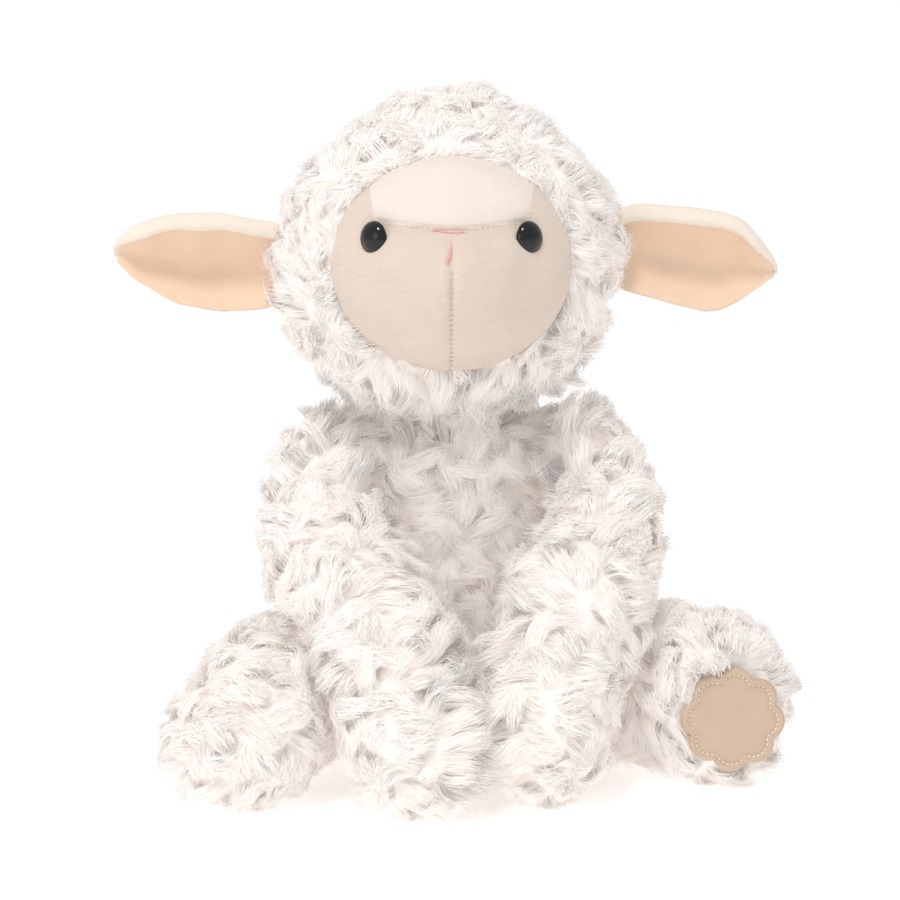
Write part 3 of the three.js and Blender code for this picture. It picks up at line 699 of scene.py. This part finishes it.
def fibreMesh(name, path, faceWay, thick, tint):
    # flat tapered fibres with their own map: tints across it, and from root to tip up it
    count, rings = path.shape[:2]
    columns = furMap["columns"]
    along = unit(np.gradient(path, axis=1))
    across = unit(np.cross(along, faceWay))
    width = np.interp(np.linspace(0, 1, rings), [0, 0.35, 0.75, 1], [0.8, 1, 0.8, 0.2])
    half = (width[None, :] * thick[:, None] / 2)[:, :-1, None]
    perFibre = (rings - 1) * 2 + 1
    places = np.empty((count, perFibre, 3))
    places[:, 0:-1:2] = path[:, :-1] - across[:, :-1] * half
    places[:, 1:-1:2] = path[:, :-1] + across[:, :-1] * half
    places[:, -1] = path[:, -1]
    corners, flat = [], []
    step = 1 / (rings - 1)
    for ring in range(rings - 2):
        low, below, above = ring * 2, ring * step, (ring + 1) * step
        corners += [low, low + 1, low + 3, low + 2]
        flat += [(0, below), (1, below), (1, above), (0, above)]
    corners = np.array(corners + [perFibre - 3, perFibre - 2, perFibre - 1])
    flat = np.array(flat + [(0, 1 - step), (1, 1 - step), (0.5, 1)])
    sizes = np.array([4] * (rings - 2) + [3])
    mesh = bpy.data.meshes.new(name)
    mesh.vertices.add(count * perFibre)
    mesh.vertices.foreach_set("co", places.ravel())
    mesh.loops.add(count * len(corners))
    shift = np.arange(count)[:, None] * perFibre
    mesh.loops.foreach_set("vertex_index", (corners[None, :] + shift).astype(np.int32).ravel())
    mesh.polygons.add(count * len(sizes))
    starts = np.concatenate([[0], np.cumsum(sizes)[:-1]])
    starts = (starts[None, :] + np.arange(count)[:, None] * len(corners)).astype(np.int32)
    mesh.polygons.foreach_set("loop_start", starts.ravel())
    mesh.update(calc_edges=True)
    mesh.polygons.foreach_set("use_smooth", np.ones(count * len(sizes), dtype=bool))
    layer = mesh.uv_layers.new(name=furMap["name"])
    uv = np.empty((count, len(corners), 2))
    column = np.floor(tint * columns)
    uv[:, :, 0] = (column[:, None] + 0.08 + 0.84 * flat[None, :, 0]) / columns
    uv[:, :, 1] = 0.01 + 0.98 * flat[None, :, 1]
    layer.uv.foreach_set("vector", uv.astype(np.float32).ravel())
    mesh.validate()
    piece = bpy.data.objects.new(name, mesh)
    scene.collection.objects.link(piece)
    return piece


def softenShading(piece, faceWay, share):
    # each fibre shades partly as the soft lock that it lies in
    rings = np.repeat(faceWay[:, :-1], 2, axis=1)
    wanted = unit(np.concatenate([rings, faceWay[:, -1:]], axis=1).reshape(-1, 3))
    own = normalsOf(piece)
    own = np.where(np.sum(own * wanted, axis=1, keepdims=True) < 0, -own, own)
    mixed = unit(own * (1 - share) + wanted * share)
    piece.data.normals_split_custom_set_from_vertices(mixed.tolist())


backings = {label: furBacking(label, 40 + index) for index, label in enumerate(furPieces)}
backingTrees = {label: treeOf(piece) for label, piece in backings.items()}
print("fur backings ready")


# face: its place comes from the frame, and its form repeats the frame's panels
foreheadLow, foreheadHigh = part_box("forehead_panel")
face = {
    "width": 86 * mm, "height": 77 * mm, "dome": 27 * mm, "back": 16 * mm,
    "sheetFrom": 0.985, "sheetOver": 0.978,  # the sheet stops short of its two poles
    "swell": 11 * mm, "swellWidth": 30 * mm, "seamShare": 0.39,
    "seamRise": 2.0 * mm, "seamWidth": 12 * mm,  # the nose seam climbs from the nose to the eyes
    "groove": 0.9 * mm, "grooveWidth": 1.2 * mm, "puff": 1.3 * mm, "puffWidth": 6 * mm,
    "foreheadHalf": 27 * mm, "foreheadTopHalf": 31 * mm,
    "socket": 2.6 * mm, "socketWidth": 7.5 * mm, "socketOut": 1.5 * mm, "socketUp": 0.8 * mm,
    # the muzzle swells over each eye's lower edge
    "cheek": 2.4 * mm, "cheekWidth": 5.5 * mm, "cheekIn": 6.0 * mm, "cheekDown": 6.5 * mm,
    "lump": 0.4 * mm, "lumpSize": 17 * mm, "dent": 0.1 * mm, "dentSize": 5 * mm,
    "cloth": 1.6 * mm,
}
eye = {
    "spread": 27.8 * mm, "below": 2.9 * mm, "radius": 6.2 * mm, "dome": 4.2 * mm,
    "out": 47.0, "up": 4.0, "sink": 1.4 * mm, "shank": 1.5 * mm, "shankLength": 12 * mm,
    "backShare": 0.12,  # how deep its back is, as a share of a ball's
}
faceX = (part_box("muzzle_panel_left")[1].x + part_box("muzzle_panel_right")[0].x) / 2
faceY = foreheadHigh.y - face["back"]
seamZ = foreheadLow.z
faceZ = seamZ - face["seamShare"] * face["height"] / 2


def seamAt(across):
    return seamZ + face["seamRise"] * (1 - gauss(across, face["seamWidth"]))


def muzzleBulge(across, level):
    down = np.clip((face["seamShare"] - level) / (face["seamShare"] + 1), 0, 1)
    fall = 2.36 * down**0.45 * (1 - down) ** 0.9
    return face["swell"] * fall * gauss(across, face["swellWidth"])


def eyePlace(side):
    across = side * eye["spread"]
    level = face["seamShare"] - 2 * eye["below"] / face["height"]
    breadth = math.sqrt(1 - level**2)
    turn = math.acos(max(-1, min(1, -2 * across / face["width"] / breadth)))
    out = face["dome"] * breadth + float(muzzleBulge(np.array(across), np.array(level)))
    place = Vector((faceX + across, faceY - out * math.sin(turn), seamZ - eye["below"]))
    return place, forwardWay(side * eye["out"], eye["up"])


def faceSurface(u, v):
    # places on the face from 0 to 1 across and up, pulled in along the seams and by the eyes
    level = np.sin(-math.pi / 2 * face["sheetFrom"] + math.pi * face["sheetOver"] * v)
    turn = math.pi * u
    breadth = np.sqrt(1 - level**2)
    across = -face["width"] / 2 * breadth * np.cos(turn)
    out = (face["dome"] * breadth + muzzleBulge(across, level)) * np.sin(turn)
    x, z = faceX + across, faceZ + face["height"] / 2 * level
    nose = np.abs(z - seamAt(across))
    nose = np.hypot(nose, np.maximum(np.abs(across) - face["foreheadHalf"], 0))
    middle = np.hypot(across, np.maximum(z - seamZ, 0))
    rise = np.clip((z - seamZ) / (face["height"] / 2 * (1 - face["seamShare"])), 0, 1)
    edge = face["foreheadHalf"] + (face["foreheadTopHalf"] - face["foreheadHalf"]) * rise
    side = np.hypot(np.abs(across) - edge, np.maximum(seamZ - z, 0))
    near = np.minimum(np.minimum(nose, middle), side)
    push = face["puff"] * (1 - np.exp(-near / face["puffWidth"]))
    push -= face["groove"] * gauss(near, face["grooveWidth"])
    for sign in (-1, 1):
        at, _ = eyePlace(sign)
        gap = np.hypot(x - at.x - sign * face["socketOut"], z - at.z - face["socketUp"])
        push -= face["socket"] * gauss(gap, face["socketWidth"])
        gap = np.hypot(x - at.x + sign * face["cheekIn"], z - at.z + face["cheekDown"])
        push += face["cheek"] * gauss(gap, face["cheekWidth"])
    places = np.stack([x, faceY - out, z], axis=-1)
    lumps = face["lump"] * smoothNoise(places, face["lumpSize"], 3)
    push += lumps + face["dent"] * smoothNoise(places, face["dentSize"], 4)
    places[..., 1] -= push * np.sin(turn)
    return places


def onFace(x, z):
    # a place on the face, at this spot seen from the front
    level = np.clip((z - faceZ) / (face["height"] / 2), -0.98, 0.98)
    breadth = np.sqrt(1 - level**2)
    turn = np.arccos(np.clip(-(x - faceX) / (face["width"] / 2 * breadth), -0.999, 0.999))
    v = (np.arcsin(level) + math.pi / 2 * face["sheetFrom"]) / (math.pi * face["sheetOver"])
    return faceSurface(turn / math.pi, v)


def facePanels():
    whole, u, v = gridOf("velour_muzzle_right", 128, 110)
    setVerts(whole, faceSurface(u, v))
    editMode()
    bpy.ops.mesh.region_to_loop()
    extrude(0)
    objectMode()
    rim = np.array([vertex.select for vertex in whole.data.vertices])
    places = vertsOf(whole)
    places[rim, 1] = faceY + face["back"]
    places[:, 2] -= seamAt(places[:, 0] - faceX) - seamZ  # levels the nose seam for its cut
    setVerts(whole, places)
    lean = (face["foreheadTopHalf"] - face["foreheadHalf"]) / (
        face["height"] / 2 * (1 - face["seamShare"]))
    cuts = [((faceX, 0, 0), (1, 0, 0)), ((0, 0, seamZ), (0, 0, 1))]
    for sign in (-1, 1):
        cuts.append(((faceX + sign * face["foreheadHalf"], 0, seamZ), (sign, 0, -lean)))
    editMode()
    bpy.ops.mesh.remove_doubles(threshold=1e-6)
    for at, normal in cuts:
        bpy.ops.mesh.select_all(action="SELECT")
        bpy.ops.mesh.bisect(plane_co=at, plane_no=normal)
    bpy.ops.mesh.select_all(action="SELECT")
    bpy.ops.mesh.normals_make_consistent(inside=False)
    bpy.ops.mesh.select_all(action="DESELECT")
    objectMode()

    def separate(name, test):
        activate(whole)
        for polygon in whole.data.polygons:
            polygon.select = test(polygon.center)
        bpy.ops.object.mode_set(mode="EDIT")
        bpy.ops.mesh.separate(type="SELECTED")
        objectMode()
        part = next(o for o in bpy.context.selected_objects if o is not whole)
        return nameIt(part, name)

    def isForehead(middle):
        rise = middle.z - seamZ
        return rise > 0 and abs(middle.x - faceX) < face["foreheadHalf"] + lean * rise

    pieces = {
        "forehead_panel": separate("velour_forehead", isForehead),
        "muzzle_panel_left": separate("velour_muzzle_left", lambda middle: middle.x > faceX),
        "muzzle_panel_right": whole,
    }
    for nodeName, piece in pieces.items():
        activate(piece)
        places = vertsOf(piece)
        places[:, 2] += seamAt(places[:, 0] - faceX) - seamZ
        setVerts(piece, places)
        cloth = piece.modifiers.new("cloth", "SOLIDIFY")
        cloth.thickness = face["cloth"]
        cloth.offset = -1
        applyModifiers(piece)
        bpy.ops.object.shade_smooth_by_angle(angle=math.radians(50))
        # the muzzle panels take the copy of the velour painted darker as shade
        finish = "foreheadVelour" if nodeName == "forehead_panel" else "muzzleVelourPaintedShade"
        finishPiece(piece, finish, "head", [nodeName])


def eyes():
    for name, side in (("left", 1), ("right", -1)):
        at, way = eyePlace(side)
        bpy.ops.mesh.primitive_uv_sphere_add(segments=48, ring_count=32, radius=eye["radius"])
        piece = nameIt(bpy.context.object, "dome_eye_" + name)
        places = vertsOf(piece)
        front = places[:, 2] > 0
        places[front, 2] *= eye["dome"] / eye["radius"]
        places[~front, 2] *= eye["backShare"]
        setVerts(piece, places)
        editMode("DESELECT")
        objectMode()
        for polygon in piece.data.polygons:
            low = polygon.center.z < 0 and math.hypot(*polygon.center.xy) < eye["shank"]
            polygon.select = low
        bpy.ops.object.mode_set(mode="EDIT")
        extrude(-eye["shankLength"])
        objectMode()
        turn = way.to_track_quat("Z", "Y").to_matrix().to_4x4()
        piece.data.transform(Matrix.Translation(at - way * eye["sink"]) @ turn)
        piece.data.update()
        bpy.ops.object.shade_smooth()
        finishPiece(piece, "eyeGloss", "head", ["eye_" + name])


# thread: one stitch, copied along a seam
def stitchRun(name, starts, ends, front, finish, body, slot, thick, sag=0.35):
    # a stitch from each start to its end, bowed up off the cloth and slim where it dives in
    bpy.ops.mesh.primitive_cylinder_add(vertices=8, radius=thick / 2, depth=1)
    first = nameIt(bpy.context.object, name)
    bpy.ops.object.mode_set(mode="EDIT")
    for height in (-0.3, 0.0, 0.3):
        bpy.ops.mesh.select_all(action="SELECT")
        bpy.ops.mesh.bisect(plane_co=(0, 0, height), plane_no=(0, 0, 1))
    objectMode()
    base = vertsOf(first)
    copies = []
    for start, end in zip(starts, ends):
        way = Vector(end) - Vector(start)
        side = Vector(front).normalized().cross(way).normalized()
        up = way.cross(side).normalized()
        t = base[:, 2] + 0.5
        bow = np.sin(math.pi * t)
        slim = 0.55 + 0.45 * np.sqrt(np.clip(bow, 0, 1))
        places = (
            np.array(Vector(start)) + t[:, None] * np.array(way)
            + (base[:, 0] * slim)[:, None] * np.array(side)
            + (base[:, 1] * slim + (sag * 2 * bow - 0.3) * thick)[:, None] * np.array(up)
        )
        copy = copyPiece(first, name + "_stitch")
        setVerts(copy, places)
        copies.append(copy)
    bpy.data.objects.remove(first)
    run = joinPieces(copies, name)
    bpy.ops.object.shade_smooth_by_angle(angle=math.radians(60))
    return finishPiece(run, finish, body)


def faceStitches():
    stitch = {
        "pitch": 1.9 * mm, "thick": 0.32 * mm, "ladder": 1.3 * mm, "from": 34 * mm, "to": 12 * mm,
        "noseThick": 0.5 * mm, "noseProud": 0.5 * mm, "noseHalf": 7 * mm,
    }
    front = (0, -1, 0)
    thread = ("seamThread", "head", "velour", stitch["thick"])

    def faceSpot(x, z, proud=0.05 * mm):
        place = onFace(np.array([x]), np.array([z]))[0]
        place[1] -= proud
        return place

    # small ladder stitches across the middle seam, wandering a little
    random = np.random.default_rng(7)
    starts, ends = [], []
    for z in np.arange(faceZ - stitch["from"], seamZ - stitch["to"], stitch["pitch"]):
        wander = random.normal(0, 0.15 * mm, 3)
        half = stitch["ladder"] / 2
        starts.append(faceSpot(faceX - half + wander[0], z))
        ends.append(faceSpot(faceX + half + wander[1], z + 0.5 * mm + wander[2]))
    stitchRun("thread_middle_seam", starts, ends, front, *thread)
    # running stitches along the nose seam, on both sides of the nose
    starts, ends = [], []
    reach = face["foreheadHalf"] - 5 * mm
    for x in np.arange(-reach, reach, stitch["pitch"]):
        if abs(x) > stitch["noseHalf"]:
            z = seamAt(x) + random.normal(0, 0.12 * mm)
            starts.append(faceSpot(faceX + x, z))
            ends.append(faceSpot(faceX + x + 1.1 * mm, z + random.normal(0, 0.15 * mm)))
    stitchRun("thread_nose_seam", starts, ends, front, *thread)
    # the nose: pink thread along the seam and down the middle, thickest at its foot
    starts, ends = [], []
    for x in np.arange(-6.6 * mm, 4.4 * mm, 1.25 * mm):
        z = seamAt(x)
        starts.append(faceSpot(faceX + x, z + 0.1 * mm, stitch["noseProud"]))
        ends.append(faceSpot(faceX + x + 1.5 * mm, z - 0.35 * mm, stitch["noseProud"]))
    for x, top, low in ((0.5, 0.2, 5.0), (0.1, 3.0, 8.6), (-0.4, 5.4, 9.6), (-0.9, 6.6, 9.4)):
        starts.append(faceSpot(faceX + x * mm, seamZ - top * mm, stitch["noseProud"]))
        ends.append(faceSpot(faceX + (x - 0.7) * mm, seamZ - low * mm, stitch["noseProud"]))
    stitchRun(
        "thread_nose", starts, ends, front, "pinkThread", "head", "velour",
        stitch["noseThick"], 0.5)


facePanels()
eyes()
faceStitches()
print("face ready")


# ears: a cupped leaf of velour with a rolled upper rim, and a peach lining in its hollow
def jointPlace(name):
    found = next(joint for joint in frame["joints"] if joint["name"] == name)
    return np.array(found["pos_m"])


ear = {
    "cup": 11 * mm, "crease": 0.5, "cloth": 2.4 * mm, "lining": 1.0 * mm,
    "rollFrom": 0.82, "rollUp": 3.2 * mm, "rollOut": 2.1 * mm, "rollTurn": 212.0,
    "inside": 0.26, "taper": 20 * mm, "edge": 0.05,
    "liningFrom": -0.2, "liningOver": 1.17, "liningGap": 0.35 * mm,
    "stem": 1.8 * mm, "stemHeight": 12 * mm, "stemAt": (5 * mm, 2 * mm, -3 * mm),
    "wander": 0.5 * mm, "wanderSize": 16 * mm,
}
earOutlines = {  # from the root to the tip: share of the length, upper and lower edge in mm
    "right": (
        (-0.26, 3.0, -14.0), (-0.1, 8.4, -21.5), (0, 9.6, -22.8), (0.26, 12.2, -23.5),
        (0.56, 12.6, -20.5), (0.7, 10.9, -16.8), (0.85, 7.7, -12.1), (0.95, 2.4, -7.0),
        (1, -1.8, -3.8),
    ),
    "left": (
        (-0.26, 7.0, -8.0), (-0.1, 14.0, -15.5), (0, 15.6, -17.0), (0.2, 15.3, -19.3),
        (0.48, 13.8, -23.2), (0.6, 12.8, -22.8), (0.73, 10.4, -19.8), (0.85, 3.6, -15.3),
        (1, -8.0, -9.8),
    ),
}
earLengths = {"right": 54.5 * mm, "left": 52.5 * mm}


def smoothEdge(at, shares, heights):
    # the outline through these heights, with its corners rounded
    fine = np.linspace(shares[0], shares[-1], 241)
    line = np.interp(fine, shares, heights)
    weights = np.hanning(19)[1:-1]
    ends = len(weights) // 2
    padded = np.concatenate([
        2 * line[0] - line[ends:0:-1], line, 2 * line[-1] - line[-2:-ends - 2:-1]])
    return np.interp(at, fine, np.convolve(padded, weights / weights.sum(), mode="valid"))


def earPlaces(name, u, e, forward):
    # places on an ear: u from root to tip, e from its lower edge to its upper rim
    side = 1 if name == "left" else -1
    root = jointPlace(f"ear_{name}_flap")
    at = np.clip(u, -ear["inside"], 1)
    table = np.array(earOutlines[name])
    top = smoothEdge(at, table[:, 0], table[:, 1]) * mm
    bottom = smoothEdge(at, table[:, 0], table[:, 2]) * mm
    taper = np.clip((top - bottom) / ear["taper"], 0, 1)
    fold = ear["rollUp"] * taper
    cup = ear["cup"] * np.sin(math.pi * np.clip(0.2 + at * 0.8, 0, 1)) ** 0.8
    low = np.minimum(e, ear["rollFrom"]) / ear["rollFrom"]
    # the two halves of the cup meet in a soft crease
    bend = np.where(low < ear["crease"], low / ear["crease"], (1 - low) / (1 - ear["crease"]))
    bend = 1 - (1 - np.clip(bend, 0, 1)) ** 1.7
    y = root[1] - cup / 2 + cup * bend
    z = root[2] + bottom + (top - fold - bottom) * low
    turned = np.clip((e - ear["rollFrom"]) / (1 - ear["rollFrom"]), 0, 1)
    turned = turned * math.radians(ear["rollTurn"])
    z = z + fold * np.sin(turned)
    y = y - ear["rollOut"] * taper * (1 - np.cos(turned))
    places = np.stack([root[0] + side * earLengths[name] * u, y - forward, z], axis=-1)
    wander = smoothNoise(places, ear["wanderSize"], 9 if side > 0 else 10) * ear["wander"]
    places[..., 1] += wander * np.clip(at * 3, 0, 1)
    places[..., 2] += wander * 0.6 * np.clip(at * 3, 0, 1)
    return places


def thinEdges(piece, u, v):
    # a weight that falls towards the border, so that the cloth's edge is round
    gap = np.minimum(np.minimum(u, 1 - u), np.minimum(v, 1 - v)) / ear["edge"]
    weight = np.sqrt(np.clip(1 - (1 - np.clip(gap, 0, 1)) ** 2, 0.02, 1))
    group = piece.vertex_groups.new(name="edge")
    for index, value in enumerate(weight):
        group.add([index], float(value), "REPLACE")


def ears():
    for name, side in (("left", 1), ("right", -1)):
        outer, u, e = gridOf("ear_velour_" + name, 84, 56)
        at = -ear["inside"] + (1 + ear["inside"]) * u
        setVerts(outer, earPlaces(name, at, e, 0))
        lining, lu, le = gridOf("ear_peach_" + name, 64, 36)
        setVerts(lining, earPlaces(
            name, ear["liningFrom"] + ear["liningOver"] * lu,
            0.008 + (ear["rollFrom"] - 0.004) * le, ear["cloth"] / 2 + ear["liningGap"]))
        for piece, across, up, thickness in (
            (outer, u, e, ear["cloth"]), (lining, lu, le, ear["lining"]),
        ):
            activate(piece)
            thinEdges(piece, across, up)
            cloth = piece.modifiers.new("cloth", "SOLIDIFY")
            cloth.thickness = thickness
            cloth.offset = 0
            cloth.vertex_group = "edge"
            cloth.thickness_vertex_group = 0.15
            applyModifiers(piece)
            piece.vertex_groups.clear()
            bpy.ops.object.shade_smooth()
        inward, back, below = ear["stemAt"]
        place = jointPlace(f"ear_{name}_flap") + np.array([-side * inward, back, below])
        bpy.ops.mesh.primitive_cylinder_add(
            vertices=24, radius=ear["stem"], depth=ear["stemHeight"], location=tuple(place))
        stem = bpy.context.object
        bpy.ops.object.transform_apply(location=True)
        bevel = stem.modifiers.new("round", "BEVEL")
        bevel.width = ear["stem"] * 0.8
        bevel.segments = 4
        applyModifiers(stem)
        bpy.ops.object.shade_smooth()
        outer = joinPieces([outer, stem], "ear_velour_" + name)
        body = "ear_" + name
        finishPiece(outer, "earVelour", body, ["ear_outer_" + name])
        finishPiece(lining, "liningVelour", body, ["ear_lining_" + name])


ears()
print("ears ready")


# the scalloped patch on the sole
patch = {
    "end": Vector((98 * mm, -57 * mm, 30.8 * mm)), "out": 4.0, "up": 6.0,
    "drop": 4.5 * mm, "seat": 17.2 * mm, "lobes": 8, "lobeRadius": 7 * mm, "lobeCircle": 11.8 * mm,
    "thick": 1.5 * mm, "rim": 0.75 * mm, "rimWidth": 2.6 * mm,
    "puff": 0.5 * mm, "puffWidth": 3 * mm, "line": 0.3 * mm, "lineWidth": 0.6 * mm,
    "edge": 0.5 * mm, "edgeWidth": 0.35 * mm, "grain": 0.12 * mm, "grainSize": 9 * mm,
    "stitchInset": 2.7 * mm, "stitches": 60, "thread": 0.5 * mm,
}
patchWay = forwardWay(patch["out"], patch["up"])
patchAt = patch["end"] + patchWay * patch["seat"] - Vector((0, 0, patch["drop"]))
patchFrame = Matrix.Translation(patchAt) @ Vector((0, 0, 1)).rotation_difference(
    patchWay).to_matrix().to_4x4()


def patchEdge(angle):
    slot = 2 * math.pi / patch["lobes"]
    part = (angle + slot / 2) % slot - slot / 2
    circle, radius = patch["lobeCircle"], patch["lobeRadius"]
    return circle * np.cos(part) + np.sqrt(radius**2 - (circle * np.sin(part)) ** 2)


def patchTop(inset):
    # the height of its face, this far in from the edge: a rolled rim, a drawn-in line of
    # stitches and a softly puffed middle
    rim = patch["rim"] * np.sin(math.pi * np.clip(inset / patch["rimWidth"], 0, 1)) ** 0.6
    inner = inset - patch["stitchInset"]
    middle = patch["puff"] * (1 - np.exp(-np.maximum(inner, 0) / patch["puffWidth"]))
    line = patch["line"] * gauss(inner, patch["lineWidth"])
    return patch["thick"] + rim + middle - line - patch["edge"] * gauss(inset, patch["edgeWidth"])


def solePatch():
    piece, u, v = gridOf("patch_leather", 256, 40)
    angle = 2 * math.pi * u
    edge = patchEdge(angle)
    share = 1 - (1 - v) ** 1.6
    radius = edge * np.maximum(1 - share, 0.001)
    inset = (edge - radius) * 0.94
    x, y = radius * np.cos(angle), radius * np.sin(angle)
    flat = np.stack([x, y, 0 * angle], axis=-1)
    height = patchTop(inset) + patch["grain"] * smoothNoise(flat, patch["grainSize"], 2)
    setVerts(piece, np.stack([x, y, height], axis=-1))
    editMode()
    bpy.ops.mesh.remove_doubles(threshold=2e-5)
    bpy.ops.mesh.region_to_loop()
    extrude(-patch["thick"] * 0.7)
    extrude(-0.2 * mm)
    bpy.ops.transform.resize(value=(0.97, 0.97, 1), center_override=(0, 0, 0))
    bpy.ops.mesh.edge_face_add()
    bpy.ops.mesh.select_all(action="SELECT")
    bpy.ops.mesh.normals_make_consistent(inside=False)
    objectMode()
    piece.data.transform(patchFrame)
    piece.data.update()
    bpy.ops.object.shade_smooth_by_angle(angle=math.radians(55))
    finishPiece(piece, "patchLeather", "leg_left", ["foot_patch"])
    starts, ends = [], []
    step = 2 * math.pi / patch["stitches"]
    for index in range(patch["stitches"]):
        for spots, angle in ((starts, (index + 0.12) * step), (ends, (index + 0.88) * step)):
            radius = float(patchEdge(angle)) - patch["stitchInset"]
            top = float(patchTop(np.array(patch["stitchInset"]))) + 0.05 * mm
            spots.append(patchFrame @ Vector(
                (radius * math.cos(angle), radius * math.sin(angle), top)))
    stitchRun(
        "thread_patch", starts, ends, patchWay, "creamThread", "leg_left", "leather",
        patch["thread"], 0.4)


solePatch()
print("sole patch ready")


# the fur itself
fur = {
    "density": 2.55,  # fibres to a square millimetre
    "lockGap": 6.0 * mm, "length": 13 * mm, "steps": 3, "reach": 7 * mm,
    "rise": (62, 24, -16), "pullLeast": 0.2, "unruly": 0.55,
    "curl": 0.9, "swirl": 1.0, "swirlSize": 30 * mm, "stray": 0.35,
    "gather": 0.26, "loose": 0.36, "looseGather": 0.05, "frizz": 0.7 * mm,
    "thick": 0.345 * mm, "round": 0.7, "turnAbout": 0.14, "tintAbout": 0.12, "soft": 0.85,
    "floorGap": 0.5 * mm, "bareBelow": 1.2 * mm,  # nothing grows where the toy sits
    "fringe": 2.4 * mm, "behind": -18 * mm,  # how far it grows over the face's rim
    "patchGap": 1.8 * mm, "patchDepth": -9 * mm,
}
heights = {"shoulder": 104 * mm, "elbow": 92 * mm, "chest": 80 * mm, "chestFade": 30 * mm}


def headWanted(spots):
    x = (spots[:, 0] - faceX) / (face["width"] / 2 - fur["fringe"])
    z = (spots[:, 2] - faceZ) / (face["height"] / 2 - fur["fringe"])
    return (x**2 + z**2 > 1) | (spots[:, 1] > fur["behind"])


def noPull(spots, ways):
    return np.zeros((len(spots), 3))


def chinPull(spots, ways):
    # the fur under the jaw hangs down over the shoulders
    share = np.clip(-ways[:, 2] - 0.15, 0, 0.4) * 2
    inward = -0.6 * spots[:, 0] / (50 * mm)
    return share[:, None] * unit(np.stack([inward, 0 * inward, 0 * inward - 1], axis=-1))


def shoulderPull(side, spots, ways):
    # the fur on the shoulders stands up to meet it, leaning in to the neck
    share = np.clip(ways[:, 2], 0, 0.4) * 2.3 * (spots[:, 2] > heights["shoulder"])
    share *= np.clip((64 * mm - side * spots[:, 0]) / (20 * mm), 0, 1)
    return share[:, None] * unit(np.array([-0.6 * side, 0, 0.8]))


def armPull(side):
    # between the arms it stands out, so that the paws touch
    def pull(spots, ways):
        share = np.clip(-side * ways[:, 0] - 0.1, 0, 0.3) * 2 * (spots[:, 2] < heights["elbow"])
        return shoulderPull(side, spots, ways) + share[:, None] * np.array([-side, 0, 0.0])
    return pull


def neckPull(spots, ways):
    return ways * 0.55


def chestPull(spots, ways):
    # out at the chest, and straight up beside the neck
    share = np.clip((spots[:, 2] - heights["chest"]) / heights["chestFade"], 0, 1)
    out = ways * share[:, None] * 0.3
    up = np.clip(ways[:, 2] - 0.45, 0, 0.4) * 1.5
    return out * (1 - up[:, None]) + up[:, None] * np.array([0, 0, 1.0])


def headFlow(spots):
    # round the face in front, both ways, and down over the sides and back
    flow = np.tile([0.0, 0.25, -1.0], (len(spots), 1))
    flow[:, 0] = (spots[:, 0] - faceX) * 12
    ring = np.stack([spots[:, 2] - faceZ, 0 * spots[:, 0], faceX - spots[:, 0]], axis=-1)
    front = np.clip((-8 * mm - spots[:, 1]) / (15 * mm), 0, 1)[:, None]
    return unit(flow) * (1 - front) + unit(ring) * front


def downFlow(spots):
    return np.tile([0.0, -0.2, -1.0], (len(spots), 1))


def limbFlow(joint, end):
    # round the limb as much as along it, so that its locks lie in slanting bands
    start = jointPlace(joint)
    way = unit(np.array(end) * mm - start)

    def flow(spots):
        rest = spots - start
        out = unit(rest - (rest @ way)[:, None] * way)
        return way * 0.2 + np.cross(way, out)
    return flow


def offFloor(spots):
    return spots[:, 2] > fur["bareBelow"]


def offPatch(spots):
    local = np.array([tuple(patchFrame.inverted() @ Vector(spot)) for spot in spots])
    edge = patchEdge(np.arctan2(local[:, 1], local[:, 0])) + fur["patchGap"]
    near = np.hypot(local[:, 0], local[:, 1]) < edge
    return offFloor(spots) & ~(near & (local[:, 2] > fur["patchDepth"]))


fur.update(  # what each piece has, where its own coat says nothing else
    wanted=offFloor, flow=downFlow, pull=noPull, extra=0, turned=0.5, near=["torso"])
coats = {  # turned: the share of locks combed back; near: the backings it keeps clear of
    "torso": {
        "pull": chestPull, "extra": 1.3, "turned": 0.45, "stray": 0.7,
        "near": ["armLeft", "armRight", "legLeft", "legRight"],
    },
    "neck": {
        "pull": neckPull, "extra": 0.9, "turned": 0.45, "stray": 0.9, "length": 18 * mm,
        "near": [],
    },
    "head": {
        "wanted": headWanted, "flow": headFlow, "pull": chinPull, "extra": 0.6, "turned": 0.4,
        "stray": 0.6, "gather": 0.2, "loose": 0.42, "lockGap": 5.4 * mm, "length": 10.5 * mm,
        "near": [],
    },
    "armLeft": {
        "flow": limbFlow("arm_left_lift", (31.5, -92, 20)), "pull": armPull(1), "extra": 0.65,
        "near": ["torso", "legLeft"],
    },
    "armRight": {
        "flow": limbFlow("arm_right_lift", (-14.5, -104, 20)), "pull": armPull(-1),
        "extra": 0.55, "near": ["torso", "legRight"],
    },
    "legLeft": {"wanted": offPatch, "flow": limbFlow("leg_left_splay", (98, -57, 28))},
    "legRight": {"flow": limbFlow("leg_right_splay", (-77, -87, 28))},
    "tail": {"turned": 0.15},
}
for index, label in enumerate(furPieces):
    growFur(label, {**fur, "seed": 20 + index, **coats[label]})
print("fur ready")
faceCounts = {piece.name: sum(len(polygon.vertices) - 2 for polygon in piece.data.polygons)
              for piece in scene.objects if piece.type == "MESH"}
print("triangles in all", sum(faceCounts.values()), "most in one", max(faceCounts.values()))
